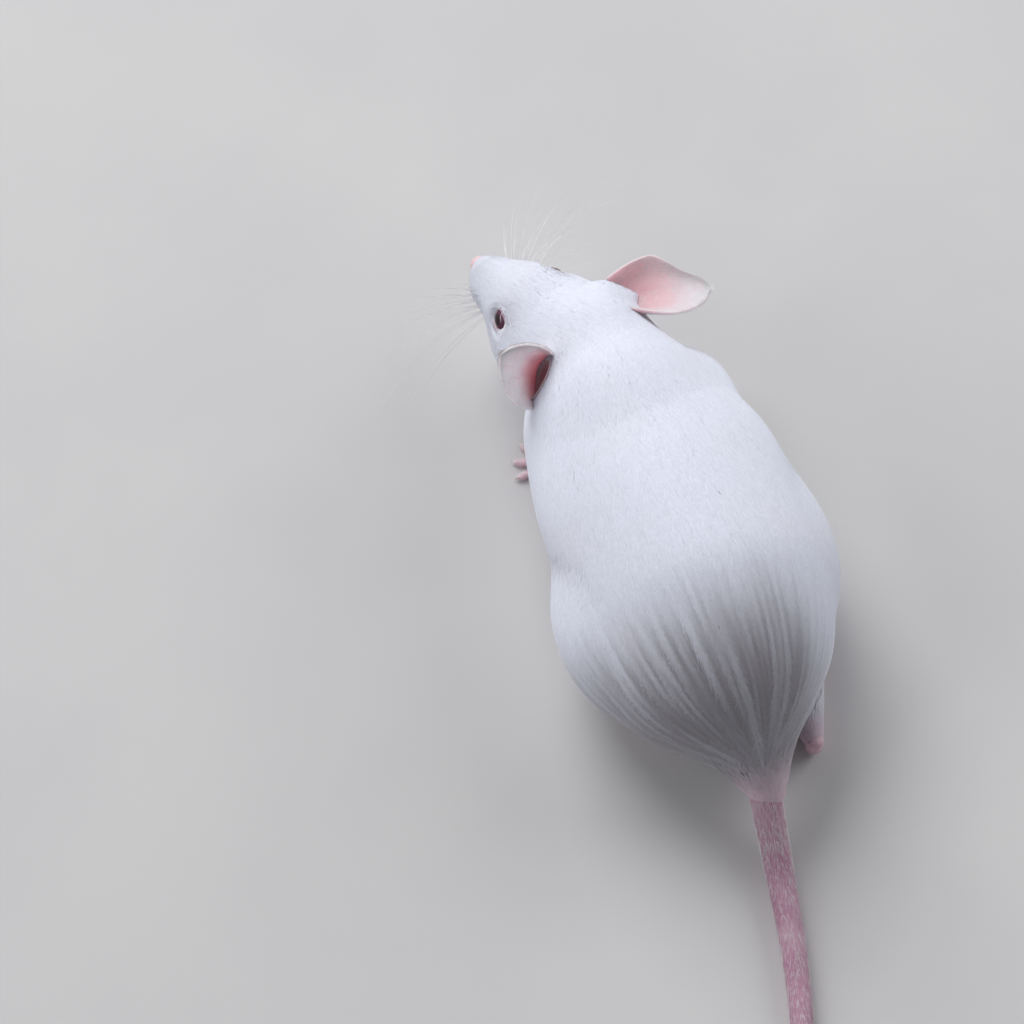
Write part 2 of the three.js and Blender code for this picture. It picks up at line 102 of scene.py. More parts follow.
# Places on a foot are along it from its back end, across it and up. A bone is given by its start and
# radius, its end and radius, and its melting width; the pads by their height, radii and melting width.
FOOT_SHAPES = {
    "fore": {
        "toes": {"count": 4, "radius": 0.56, "reach": 4.3, "fan": 26},
        "knuckles": {"along": 2.1, "outer_along": 2.1, "apart": 0.75},
        "bones": (
            ((-1.6, 0, 4.6), 1.9, (-0.1, 0, 2.6), 1.35, 0.5),
            ((-0.1, 0, 2.4), 1.35, (1.1, 0, 1.25), 1.15, 0.6),
            ((1.4, -0.7, 1.0), 0.85, (1.4, 0.7, 1.0), 0.85, 0.6),
            ((2.1, -1.1, 0.85), 0.66, (2.1, 1.1, 0.85), 0.66, 0.5),
        ),
        "pad": (0.62, (0.62, 0.62, 0.62), 0.3),
        "pads": ((0.3, 0.75), (0.3, -0.75)),
        "thumb": ((0.9, 1.15, 0.9), 0.5, (1.9, 1.75, 0.75), 0.34, 0.3),
        "claw": 0.95,
        "span": 8,
    },
    "hind": {
        "toes": {"count": 5, "radius": 0.66, "reach": 6.2, "fan": 13},
        "knuckles": {"along": 10.8, "outer_along": 8.6, "apart": 0.72},
        "bones": (
            ((0.8, 0, 3.6), 1.15, (1.0, 0, 1.5), 1.0, 0.6),
            ((0.9, 0, 1.25), 1.05, (5, 0, 1.5), 1.25, 0.6),
            ((5, 0, 1.45), 1.3, (9.4, 0, 1.15), 1.15, 0.6),
            ((9, -0.7, 1.05), 0.98, (9, 0.7, 1.05), 0.98, 0.6),
            ((10.8, -1.15, 0.9), 0.8, (10.8, 1.15, 0.9), 0.8, 0.5),
        ),
        "pad": (0.5, (0.6, 0.6, 0.48), 0.25),
        "pads": ((7.4, -0.8), (7.0, 0.8), (9.6, -1.4), (9.6, 1.4), (10.8, -0.5), (10.8, 0.5)),
        "claw": 1.15,
        "span": 18,
    },
}
TAIL = {
    "length": 76,
    "root_radius": 2.15,
    "tip_radius": 0.7,
    "root_height": 6.6,
    "drops_over": 15,
    "heading": 8,
    "curve": 26,
}
LID_DROOP = {"left": 5, "right": 14}  # how far the upper lid hangs, in degrees
SKIN_STEP = 0.24  # spacing of the skin's net on the head
TRUNK_STEP = 0.55  # and along the trunk behind it
FLOOR_AIR = 0.02  # what rests on the floor stops this far above it
FLOOR_HALF = 1500  # half of the floor's side
# Depths, lengths, widths and spacings of the coat go by the distance behind the nose.
COAT_DEPTH = {"back": (0, 5, 12, 20, 28, 36), "depth": (0.04, 0.05, 0.08, 0.12, 0.17, 0.21)}
TUFTS = {
    "length_at": (0, 4, 9, 16, 24, 34, 90),
    "length": (0.45, 0.75, 1.2, 1.9, 2.6, 3.5, 4.0),
    "width_at": (0, 6, 14, 26, 40),
    "width": (0.14, 0.21, 0.3, 0.33, 0.33),
    "spacing_from": (8, 16, 26),
    "spacing": (0.165, 0.19, 0.222, 0.262),
    "middle": 0.33,  # where along a tuft its widest row lies
    "scattered": 1200000,  # places thrown on the skin before they are thinned
    "per_piece": 19000,
}
# Shares of a tuft's width at its root and middle, its thickness as a share of its width, and the
# place of root, middle and tip on the way from its root's colour to its own.
COAT_TUFT = {"profile": (0.7, 1.0), "thickness": 0.14, "along": (0.0, 0.5, 1.0)}
SHORT_HAIR = {"profile": (1.0, 0.8), "thickness": 0.4, "along": (0.2, 0.6, 1.0)}
WHISKER_RADIUS = 0.042
BROW_RADIUS = 0.034
HAIR_FLOOR = {"tuft": 0.08, "short": 0.05, "tail": 0.06, "whisker": 0.3}  # lowest above the floor
TRUNK_RADIUS = 12  # turns angles round the body into millimetres for the fur's streaks


# ---- Vectors -------------------------------------------------------------------------------------
def norm(v):
    return np.sqrt(np.einsum("...i,...i->...", v, v))


def unit(v):
    v = np.asarray(v, float)
    return v / np.maximum(norm(v), 1e-12)[..., None]


def smoothstep(low, high, x):
    t = np.clip((x - low) / (high - low), 0, 1)
    return t * t * (3 - 2 * t)


def bell(x, width):
    return np.exp(-((x / width) ** 2))


def mix(a, b, t):
    return a + (b - a) * t


def at(side, forward, up):
    return np.array([side, TAIL_ROOT_Y - forward, up], float)


def heading(degrees):
    a = math.radians(degrees)
    return np.array([math.sin(a), -math.cos(a), 0.0])


def head_axes():
    yaw, pitch, roll = (math.radians(HEAD[k]) for k in ("yaw", "pitch", "roll"))
    level = np.array([math.sin(yaw), -math.cos(yaw), 0])
    forward = level * math.cos(pitch) + np.array([0, 0, -math.sin(pitch)])
    flat_left = np.array([math.cos(yaw), math.sin(yaw), 0])
    left = flat_left * math.cos(roll) + np.cross(forward, flat_left) * math.sin(roll)
    return np.array([forward, left, np.cross(forward, left)])


HEAD_FRAME = head_axes()  # rows: forward, left, up
NOSE_TIP = at(*HEAD["pivot"]) + HEAD_FRAME[0] * HEAD["nose_reach"]


def on_head(back, side, up):
    return NOSE_TIP + np.array([-back, side, up]) @ HEAD_FRAME


def head_places(p):
    """back, side and up of points on the head."""
    q = (p - NOSE_TIP) @ HEAD_FRAME.T
    return -q[:, 0], q[:, 1], q[:, 2]


SIDES = {"left": 1, "right": -1}
EYES = {side: on_head(EYE["back"], EYE["side"] * s, EYE["up"]) for side, s in SIDES.items()}

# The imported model's origin, found from an eye.
eye_low, eye_high = (np.array(corner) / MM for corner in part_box("eye_left"))
SHIFT = (eye_low + eye_high) / 2 - EYES["left"]


# ---- Fields: distances to a surface, negative inside ---------------------------------------------
def ellipsoid(centre, radii, axes=None):
    radii = np.asarray(radii, float)

    def field(p):
        q = p - centre
        if axes is not None:
            q = q @ axes.T
        q = q / radii
        k0 = norm(q)
        return k0 * (k0 - 1) / np.maximum(norm(q / radii), 1e-9)

    return field


def ball(centre, radius):
    return ellipsoid(centre, [radius] * 3)


def round_cone(a, ra, b, rb):
    """A cone with round ends, from a ball at a to a ball at b."""
    ba = b - a
    l2 = ba @ ba
    rr = ra - rb
    a2 = l2 - rr * rr

    def field(p):
        pa = p - a
        y = pa @ ba
        z = y - l2
        across = pa * l2 - y[:, None] * ba
        x2 = np.einsum("ij,ij->i", across, across)
        y2 = y * y * l2
        z2 = z * z * l2
        k = np.sign(rr) * rr * rr * x2
        far = np.sqrt(x2 + z2) / l2 - rb
        near = np.sqrt(x2 + y2) / l2 - ra
        flank = (np.sqrt(x2 * a2 / l2) + y * rr) / l2 - ra
        return np.where(np.sign(z) * a2 * z2 > k, far, np.where(np.sign(y) * a2 * y2 < k, near, flank))

    return field


def joined(d, e, width):
    """Smooth union of two fields' values."""
    h = np.maximum(width - np.abs(d - e), 0) / width
    return np.minimum(d, e) - h * h * width / 4


def carved(d, e, width):
    """d with the inside of e taken away, smoothly."""
    return -joined(-d, e, width)


def melt(parts):
    """One field from (field, melting width) pairs, each joined to those before it."""

    def field(p):
        d = parts[0][0](p)
        for part, width in parts[1:]:
            d = joined(d, part(p), width)
        return d

    return field


def nearest_of(p, places):
    """Distance from each point to the nearest of some places."""
    nearest = np.full(len(p), np.inf)
    for place in places:
        nearest = np.minimum(nearest, norm(p - place))
    return nearest


def lessened(p, places, share, near, far):
    """1 away from all the places, falling to a share of it close to each."""
    keep = np.ones(len(p))
    for place in places:
        keep = keep * mix(share, 1, smoothstep(near, far, norm(p - place)))
    return keep


def in_chunks(field, p, size=40000):
    return np.concatenate([field(p[i : i + size]) for i in range(0, len(p), size)])


def slope(field, p, reach=0.02):
    """Values and gradients of a field."""
    d = in_chunks(field, p)
    g = np.empty_like(p)
    for n in range(3):
        q = p.copy()
        q[:, n] += reach
        g[:, n] = (in_chunks(field, q) - d) / reach
    return d, g


def settle(field, p, level=0.0, turns=2, most=None):
    """Slides points along the field's slope to the surface where it equals level."""
    start = p
    for _ in range(turns):
        d, g = slope(field, p)
        p = p - g * ((d - level) / np.maximum(np.einsum("ij,ij->i", g, g), 0.1))[:, None]
    if most is not None:
        moved = p - start
        far = norm(moved)
        p = start + moved * np.minimum(1, most / np.maximum(far, 1e-9))[:, None]
    return p


# ---- The flesh -----------------------------------------------------------------------------------
def trunk_parts():
    """Fields of the trunk with their melting widths."""
    return [
        (ellipsoid(at(-0.6, 23.7, 15.1), (15.9, 16.9, 14.6)), 1),  # the loins, highest on the back
        (ellipsoid(at(1.1, 14, 13.6), (14.1, 12.2, 12.2)), 5),  # rump
        (round_cone(at(0, 8, 10.5), 7, at(0.3, -2.1, 6.2), 2.6), 4),  # the rump's run into the tail
        (ellipsoid(at(-0.2, 37, 14.8), (16, 15, 13)), 6),  # belly
        (ellipsoid(at(0.9, 47, 13.2), (12.7, 12, 11.2)), 5),  # chest
        (round_cone(at(0.6, 50, 15.2), 10.2, at(-0.3, 57.6, 15.6), 7.1), 4),  # neck
    ]


def limb_parts():
    haunches = at(11.7, 22.3, 11.3), at(-11.8, 25.5, 11.2)
    shoulders = at(7.2, 48.5, 10.2), at(-10.1, 48.5, 10.2)
    parts = []
    for side, s, haunch, shoulder in zip(SIDES, SIDES.values(), haunches, shoulders):
        wrist = at(*FEET[f"fore_{side}"]["stands"], 3.2)
        across, forward = FEET[f"hind_{side}"]["stands"]
        knee, heel = at(across * 1.18, forward + 9.2, 6.8), at(across * 1.02, forward + 1.8, 3.7)
        parts.append((ellipsoid(haunch, (7.1, 11.5, 9.6)), 2.5))
        parts.append((ellipsoid(shoulder, (5, 7.6, 7.6)), 3))
        parts.append((round_cone(shoulder + (1.2 * s, 0, -3.4), 3.2, wrist, 2.2), 2))
        parts.append((round_cone(knee, 3, heel, 1.6), 2))
    return parts


def head_parts():
    parts = [
        (ellipsoid(on_head(19, 0, 1.3), (8.4, 7.7, 7), HEAD_FRAME), 4),  # skull
        (ellipsoid(on_head(13, 0, 0.5), (8.6, 6.1, 5.4), HEAD_FRAME), 3),  # brow
        (round_cone(on_head(10, 0, -0.1), 5.1, on_head(2.6, 0, 0.1), 2.4), 3),  # snout
        (round_cone(on_head(14, 0, -4), 3.6, on_head(5, 0, -2.6), 1.5), 2),  # lower jaw
    ]
    for s in SIDES.values():
        cheek = ellipsoid(on_head(15.5, 4.6 * s, -1.6), (6, 3.9, 4.8), HEAD_FRAME)
        whisker_pad = ellipsoid(on_head(4.6, 1.7 * s, -0.9), (3.2, 2, 2), HEAD_FRAME)
        parts += [(cheek, 3), (whisker_pad, 1.5)]
    return parts


flesh = melt(trunk_parts() + limb_parts() + head_parts())

WRISTS = [at(*FEET[f]["stands"], 2.4) for f in ("fore_left", "fore_right")]
HEELS = [at(*FEET[f]["stands"], 2) for f in ("hind_left", "hind_right")]
TAIL_START = at(0.3, -2.6, 6)


def coat_depth(p):
    """How far the skin lies below the coat's outside."""
    back = (NOSE_TIP - p) @ HEAD_FRAME[0]
    depth = np.interp(back, COAT_DEPTH["back"], COAT_DEPTH["depth"])
    return depth * lessened(p, WRISTS + HEELS, 0.3, 2, 7) * lessened(p, [TAIL_START], 0.2, 1.5, 8)


# ---- The skin's own detail on the head -----------------------------------------------------------
def ear_axes(spec):
    rise = unit(np.array(spec["rises"]) @ HEAD_FRAME)
    opens = np.array(spec["opens"]) @ HEAD_FRAME
    opening = unit(opens - rise * (opens @ rise))
    return rise, opening, np.cross(rise, opening)


def ear_place(spec, along=0.0, out=0.0, across=0.0):
    """A point given along the ear, out of its opening and across it."""
    base = on_head(spec["back"], spec["side"], spec["up"])
    return base + np.array([along, out, across]) @ np.array(ear_axes(spec))


def ear_bowl(spec):
    """The hollow inside an ear's base, down to the ear canal."""
    return ellipsoid(ear_place(spec, *spec["hollow"]), spec["hollow_radii"], np.array(ear_axes(spec)))


def ear_root(spec):
    """The fold of the head's skin that carries the front edge of the ear laid back."""
    return round_cone(ear_place(spec, -1.0, 1.2, -0.3), 2.5, ear_place(spec, 2.7, 0.2, -0.6), 0.5)


def eye_frame(side):
    """Outward, forward and upward directions of an eye's opening."""
    out = unit(np.array([0.57, SIDES[side], 0.42]) @ HEAD_FRAME)
    ahead = unit(HEAD_FRAME[0] - out * (HEAD_FRAME[0] @ out))
    return out, ahead, np.cross(out, ahead) * SIDES[side]


def lid_line(side, radius, count=56):
    """The rim of the lids, a closed almond on the eyeball."""
    out, ahead, up = eye_frame(side)
    points = []
    for n in range(count):
        a = 2 * math.pi * n / count
        opening = math.radians(54 + 20 * abs(math.cos(a)) ** 3 - LID_DROOP[side] * max(math.sin(a), 0))
        around = ahead * math.cos(a) + up * math.sin(a)
        points.append(EYES[side] + radius * (out * math.cos(opening) + around * math.sin(opening)))
    return np.array(points)


def mouth_line(side):
    """From the split under the nose down and back along the lips."""
    s = SIDES[side]
    return np.array(
        [
            on_head(0.5, 0, -0.9),
            on_head(0.8, 0.05 * s, -1.6),
            on_head(1.3, 0.3 * s, -2.2),
            on_head(2.3, 1.0 * s, -2.65),
            on_head(3.8, 1.7 * s, -2.95),
            on_head(5.4, 2.4 * s, -2.9),
        ]
    )


def dense(line, step):
    """Points at even spacing along a broken line."""
    reach = np.concatenate([[0], np.cumsum(norm(np.diff(line, axis=0)))])
    count = max(2, int(reach[-1] / step) + 1)
    want = np.linspace(0, reach[-1], count)
    return np.stack([np.interp(want, reach, line[:, n]) for n in range(3)], 1)


def line_field(points, radius):
    return lambda p: nearest_of(p, points) - radius


BOWLS = [ear_bowl(spec) for spec in EARS.values()]


def skin_features():
    """Centre, reach, field, melting width, and how the field joins the flesh, in order."""
    features = []
    for side, eye in EYES.items():
        out, _, up = eye_frame(side)
        radius = EYE["radius"]
        features.append((eye, 5.5, ball(eye + out * 2.75, 1.95), 1.0, carved))
        features.append((eye, 4.2, line_field(lid_line(side, radius + 0.08), 0.26), 0.5, joined))
        if side == "right":  # its upper lid hangs lower
            upper_lid = ball(eye + 0.3 * up - 0.3 * out, radius + 0.07)
            features.append((eye, 4.2, upper_lid, 0.3, joined))
        features.append((eye, 4.2, ball(eye, radius - 0.1), 0.06, carved))
        mouth = dense(mouth_line(side), 0.25)
        features.append((mouth.mean(0), 5, line_field(mouth, 0.19), 0.3, carved))
    features.append((ear_place(EARS["right"]), 8, ear_root(EARS["right"]), 1.6, joined))
    for spec, bowl in zip(EARS.values(), BOWLS):
        features.append((ear_place(spec), 11, bowl, 0.5, carved))
    return features


FEATURES = skin_features()


def skin_field(p):
    """The skin: the flesh less the coat's depth, with the head's features and flat feet."""
    d = flesh(p) + coat_depth(p) + 0.35 * (1 - smoothstep(0.5, 5.5, norm(p - TAIL_START)))
    for centre, reach, feature, width, join in FEATURES:
        close = norm(p - centre) < reach
        if close.any():
            d[close] = join(d[close], feature(p[close]), width)
    return np.maximum(d, FLOOR_AIR - p[:, 2])


def coat_top(p):
    """The coat's outside: the flesh, with the skin's own folds and hollows."""
    return skin_field(p) - coat_depth(p)


# ---- Surface nets --------------------------------------------------------------------------------
def band_values(field, axes, band, every=4):
    """Field values on a grid, exact near the surface and only roughly right away from it."""
    coarse = [a[::every] for a in axes]
    points = np.stack(np.meshgrid(*coarse, indexing="ij"), -1).reshape(-1, 3)
    rough = in_chunks(field, points).reshape([len(c) for c in coarse])
    near = []
    for fine, few in zip(axes, coarse):
        near.append(np.minimum((np.arange(len(fine)) + every // 2) // every, len(few) - 1))
    value = rough[np.ix_(*near)]
    close = np.argwhere(np.abs(value) < band)
    exact = np.stack([axes[n][close[:, n]] for n in range(3)], 1)
    value[tuple(close.T)] = in_chunks(field, exact)
    return value


def cell_points(value, axes):
    """A point in each cell that the surface crosses, and the number of each such cell, -1 elsewhere."""
    inside = value < 0
    corners = [((c >> 2) & 1, (c >> 1) & 1, c & 1) for c in range(8)]
    size = [n - 1 for n in value.shape]
    total = np.zeros(size, np.int8)
    for corner in corners:
        total += inside[tuple(slice(o, o + n) for o, n in zip(corner, size))]
    cells = np.argwhere((total > 0) & (total < 8))
    number = np.full(size, -1, np.int64)
    number[tuple(cells.T)] = np.arange(len(cells))
    values = [value[tuple((cells + c).T)] for c in corners]
    places = [np.stack([axes[n][cells[:, n] + c[n]] for n in range(3)], 1) for c in corners]
    sums = np.zeros((len(cells), 3))
    crossings = np.zeros(len(cells))
    for a, bit in [(a, bit) for a in range(8) for bit in (1, 2, 4) if not a & bit]:
        va, vb = values[a], values[a | bit]
        crosses = (va < 0) != (vb < 0)
        t = np.where(crosses, va / np.where(crosses, va - vb, 1), 0)[:, None]
        sums += np.where(crosses[:, None], mix(places[a], places[a | bit], t), 0)
        crossings += crosses
    return sums / crossings[:, None], number


def cell_quads(inside, number):
    """A quad across each edge of the grid that the surface crosses, through the four cells round it."""
    quads = []
    for axis in range(3):
        low = [slice(1, -1)] * 3
        low[axis] = slice(0, -1)
        high = list(low)
        high[axis] = slice(1, None)
        edges = np.argwhere(inside[tuple(low)] != inside[tuple(high)])
        edges += [int(n != axis) for n in range(3)]
        flip = ~inside[tuple(edges.T)]
        du, dv = np.eye(3, dtype=int)[[(axis + 1) % 3, (axis + 2) % 3]]
        round_edge = ((0, 0), (1, 0), (1, 1), (0, 1))
        quad = np.stack([number[tuple((edges - a * du - b * dv).T)] for a, b in round_edge], 1)
        quad[flip] = quad[flip][:, ::-1]
        quads.append(quad)
    return np.concatenate(quads)


def surface_net(field, axes, band=2.3):
    """A field's surface as points and triangles, with the points slid onto it."""
    value = band_values(field, axes, band)
    points, number = cell_points(value, axes)
    quads = cell_quads(value < 0, number)
    step = min(np.diff(a).min() for a in axes)
    points = settle(field, points, most=step * 0.7)
    return points, np.concatenate([quads[:, [0, 1, 2]], quads[:, [0, 2, 3]]])


# ---- Meshes --------------------------------------------------------------------------------------
def in_scene(name, data):
    """A new object, linked into the scene."""
    thing = bpy.data.objects.new(name, data)
    bpy.context.scene.collection.objects.link(thing)
    return thing


def make_mesh(name, points, faces, material_of=None, normals=None, uv=None, attributes=None):
    """An object from points in millimetres and faces of three corners."""
    mesh = bpy.data.meshes.new(name)
    mesh.vertices.add(len(points))
    mesh.vertices.foreach_set("co", ((points + SHIFT) * MM).astype(np.float32).ravel())
    mesh.loops.add(faces.size)
    mesh.loops.foreach_set("vertex_index", faces.astype(np.int32).ravel())
    mesh.polygons.add(len(faces))
    mesh.polygons.foreach_set("loop_start", np.arange(0, faces.size, 3, dtype=np.int32))
    if material_of is not None:
        mesh.polygons.foreach_set("material_index", material_of.astype(np.int32))
    mesh.update(calc_edges=True)
    mesh.validate()
    mesh.shade_smooth()
    if uv is not None:
        layer = mesh.uv_layers.new(name="OFBake")
        layer.uv.foreach_set("vector", uv[faces.ravel()].astype(np.float32).ravel())
    for key, values in (attributes or {}).items():
        mesh.attributes.new(key, "FLOAT", "POINT").data.foreach_set("value", values.astype(np.float32))
    if normals is not None:
        mesh.normals_split_custom_set(normals)
    piece = in_scene(name, mesh)
    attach(piece, "root")
    return piece


def put_together(parts):
    """Several (points, faces) as one."""
    points, faces, count = [], [], 0
    for p, f in parts:
        points.append(p)
        faces.append(f + count)
        count += len(p)
    return np.concatenate(points), np.concatenate(faces)


def grid_faces(rows, columns, wrap=(False, False)):
    """Two triangles in each cell of a grid; wrap joins its last row or column to the first."""
    cells = np.arange(rows - (not wrap[0])), np.arange(columns - (not wrap[1]))
    i, j = (x.ravel() for x in np.meshgrid(*cells, indexing="ij"))
    k, m = (i + 1) % rows, (j + 1) % columns
    a, b, c, d = i * columns + j, i * columns + m, k * columns + m, k * columns + j
    return np.concatenate([np.stack([a, c, b], 1), np.stack([a, d, c], 1)])


def capped_faces(rows, columns):
    """Faces of rings of points, closed by two more points, one before them and one after."""
    j = np.arange(columns)
    k = (j + 1) % columns
    first, last = rows * columns, (rows - 1) * columns
    near = np.stack([np.full(columns, first), j, k], 1)
    far = np.stack([np.full(columns, first + 1), last + k, last + j], 1)
    return np.concatenate([grid_faces(rows, columns, (False, True)), near, far])


def rings(line, across, up, radii, sides):
    """Points in a ring round each point of a line."""
    angle = (np.arange(sides) * 2 * math.pi / sides)[None, :, None]
    ring = np.cos(angle) * across[:, None] + np.sin(angle) * up[:, None]
    return (line[:, None] + ring * np.asarray(radii)[..., None, None]).reshape(-1, 3)


def ring_tube(loop, radius, sides=10):
    """A closed ring round a loop of points."""
    run = unit(np.roll(loop, -1, 0) - np.roll(loop, 1, 0))
    out = unit(loop - loop.mean(0))
    points = rings(loop, out, unit(np.cross(run, out)), radius, sides)
    return points, grid_faces(len(loop), sides, (True, True))


def tube(line, radii, sides, squash=1.0):
    """A closed tapering tube along a line of points."""
    run = unit(np.gradient(line, axis=0))
    side = unit(np.cross(run, [0, 0, 1.0]))
    points = rings(line, side, squash * np.cross(side, run), radii, sides)
    ends = np.stack([line[0] - run[0] * radii[0] * 0.6, line[-1] + run[-1] * radii[-1] * 0.6])
    return np.concatenate([points, ends]), capped_faces(len(line), sides)


# ---- Ears ----------------------------------------------------------------------------------------
def ear_sheet(spec, t, across):
    """An ear's inner face and its outward directions: t from base to tip, across from -1 to 1."""
    rise, opening, wide = ear_axes(spec)
    base = ear_place(spec)
    widening = np.sin(np.minimum(t / 0.55, 1) * math.pi / 2)
    spread = mix(EAR["base_half_width"], EAR["half_width"], widening)
    half = spread * np.sqrt(np.maximum(1 - np.maximum(t / 0.5 - 1, 0) ** 1.7, 0.01))
    wrap = np.radians(mix(EAR["top_wrap"], EAR["base_wrap"], np.maximum(1 - t, 0) ** 1.6))
    cut = spec["front_cut"] * smoothstep(0.45, 0.85, t)
    inner, front = np.maximum(across, 0), np.maximum(-across, 0)
    radius = half / wrap * mix(1, spec["inner_half"], inner) * (1 - cut * front)
    middle = base + EAR["length"] * t[..., None] * rise - EAR["bend"] * (t * t)[..., None] * opening
    a = wrap * across
    out = np.sin(a)[..., None] * wide - np.cos(a)[..., None] * opening
    return middle + radius[..., None] * (opening + out), out


def blade(front, rear):
    """A closed thin sheet from two grids of points."""
    rows, columns = front.shape[:2]
    count = rows * columns
    number = np.arange(count).reshape(rows, columns)
    rim = np.concatenate([number[0, :-1], number[:-1, -1], number[-1, :0:-1], number[:0:-1, 0]])
    ahead = np.roll(rim, -1)
    face = grid_faces(rows, columns)
    faces = [
        face[:, [0, 2, 1]],
        face + count,
        np.stack([ahead, rim, rim + count], 1),
        np.stack([ahead, rim + count, ahead + count], 1),
    ]
    return np.concatenate([front.reshape(-1, 3), rear.reshape(-1, 3)]), np.concatenate(faces)


def make_ear(spec, rows=44, columns=40):
    """A thin closed blade with a rounded rim and low folds in its bowl."""
    i, j = np.meshgrid(np.linspace(0, 1, rows + 1), np.linspace(-1, 1, columns + 1), indexing="ij")
    t = 1 - (1 - i) ** 1.35
    across = np.sin(j * math.pi / 2)
    face, out = ear_sheet(spec, t, across)
    edge = np.maximum(np.abs(j), smoothstep(0.9, 1.0, t) * 0.98)
    thick = EAR["thickness"] * mix(1, 0.8, t) * np.sqrt(np.maximum(1 - edge**6, 0.05))
    fold = 0.16 * bell(across - 0.42 + 0.25 * t, 0.16) * smoothstep(0.05, 0.3, t) * (1 - t)
    fold = fold + 0.13 * bell(across + 0.38 - 0.2 * t, 0.15) * smoothstep(0.1, 0.35, t) * (1 - t)
    lift = EAR["thickness"] * 0.5
    front = face + out * (lift - thick / 2 - fold)[..., None]
    rear = face + out * (lift + thick / 2)[..., None]
    return blade(front, rear)


def make_collar(spec, rows=14, columns=40):
    """The near wall of an upright ear's funnel: it lines the hollow and stands out of the fur."""
    turn = np.radians(np.linspace(spec["collar"][0], spec["collar"][1], columns + 1))
    _, out, across = spec["hollow"]
    _, reach, breadth = spec["hollow_radii"]
    rise, opening, wide = ear_axes(spec)
    cosine, sine = np.cos(turn)[:, None] * opening, np.sin(turn)[:, None] * wide
    outward = cosine + sine
    top = ear_place(spec, 5.5, out, across) + cosine * (reach + 0.12) + sine * (breadth + 0.1)
    show = 0.35 * np.sin(np.linspace(0, math.pi, columns + 1)) ** 0.6
    for _ in range(4):
        top = top - rise * ((flesh(top) - show) * 0.8)[:, None]
    t = np.linspace(0, 1, rows + 1)
    thick = 0.36 * np.sqrt(np.maximum(1 - t**8, 0.04))
    inner = top[None] - rise * ((1 - t) * 4)[:, None, None]
    inner = inner + outward[None] * (0.25 * t**3)[:, None, None]
    outer = inner + outward[None] * thick[:, None, None]
    return blade(inner, outer)


# ---- Feet ----------------------------------------------------------------------------------------
def lifted(p, height):
    return np.array([p[0], p[1], height])


def toe_parts(start, way, reach, radius):
    """A toe of three bones, arched, with a pad under its tip."""
    shape = [(0, 1.15, 0.95), (0.36, 0.92, 1.55), (0.72, 0.86, 1.1), (1, 0.7, 0.75)]
    points = [(lifted(start + way * reach * t, radius * up), radius * thick) for t, thick, up in shape]
    parts = [(round_cone(a, ra, b, rb), 0.22) for (a, ra), (b, rb) in zip(points, points[1:])]
    pad = lifted(start + way * reach * 0.86, radius * 0.62)
    return parts + [(ellipsoid(pad, (radius * 0.95, radius * 0.95, radius * 0.66)), 0.2)]


def foot_axes(name):
    """A foot's shape, its back end on the floor, and its ways forward and across."""
    points = FEET[name]["points"]
    back_end = at(*FEET[name]["stands"], 0)
    return FOOT_SHAPES[name.split("_")[0]], back_end, heading(points), heading(points + 90)


def toes_of(name):
    """Start, way, reach and radius of each toe; the outer ones are shorter."""
    shape, back_end, way, across = foot_axes(name)
    toes, knuckles = shape["toes"], shape["knuckles"]
    made = []
    for n in range(toes["count"]):
        spread = n - (toes["count"] - 1) / 2
        outer = n in (0, toes["count"] - 1)
        along = knuckles["outer_along" if outer else "along"]
        start = back_end + way * along + across * spread * knuckles["apart"]
        reach = toes["reach"] * (0.86 if outer else 1)
        toe_way = heading(FEET[name]["points"] + spread * toes["fan"])
        made.append((start, toe_way, reach - 0.5, toes["radius"]))
    return made


def foot_parts(name):
    """The wrist or heel, the sole with its pads, and the toes of one foot."""
    shape, back_end, way, across = foot_axes(name)

    def place(along, sideways, up):
        return lifted(back_end + way * along + across * sideways, up)

    def bone(a, ra, b, rb, width):
        return round_cone(place(*a), ra, place(*b), rb), width

    parts = [bone(*bone_shape) for bone_shape in shape["bones"]]
    up, radii, width = shape["pad"]
    parts += [(ellipsoid(place(*pad, up), radii), width) for pad in shape["pads"]]
    if "thumb" in shape:
        inward = np.array([1, -SIDES[name.split("_")[1]], 1])
        a, ra, b, rb, width = shape["thumb"]
        parts.append(bone(inward * a, ra, inward * b, rb, width))
    for toe in toes_of(name):
        parts += toe_parts(*toe)
    return parts


def make_foot(name, step=0.16):
    """One foot, cut flat just above the floor."""
    whole = melt(foot_parts(name))

    def field(p):
        return np.maximum(whole(p), FLOOR_AIR - p[:, 2])

    shape, back_end, way, _ = foot_axes(name)
    low = lifted(back_end, -0.5) - (4.5, 4.5, 0)
    high = low + (9, 9, 7.5)
    tip = back_end + way * shape["span"]
    low = np.minimum(low, lifted(tip, -0.5) - (3.6, 3.6, 0))
    high = np.maximum(high, lifted(tip, 7) + (3.6, 3.6, 0))
    axes = [np.arange(a, b, step) for a, b in zip(low, high)]
    return surface_net(field, axes, band=1.2)


def make_claws():
    """One short hooked claw at each toe's end, pressed to the floor."""
    parts = []
    for name in FEET:
        size = foot_axes(name)[0]["claw"]
        for start, way, reach, radius in toes_of(name):
            root = lifted(start + way * (reach - 0.05), radius * 0.95)
            t = np.linspace(0, 1, 8)
            line = root + t[:, None] * size * way
            line[:, 2] += 0.14 * np.sin(t * math.pi * 0.75) - (root[2] - 0.12) * t**2.2
            parts.append(tube(line, 0.2 * (1 - t) ** 0.7 + 0.012, 8, squash=1.15))
    return put_together(parts)


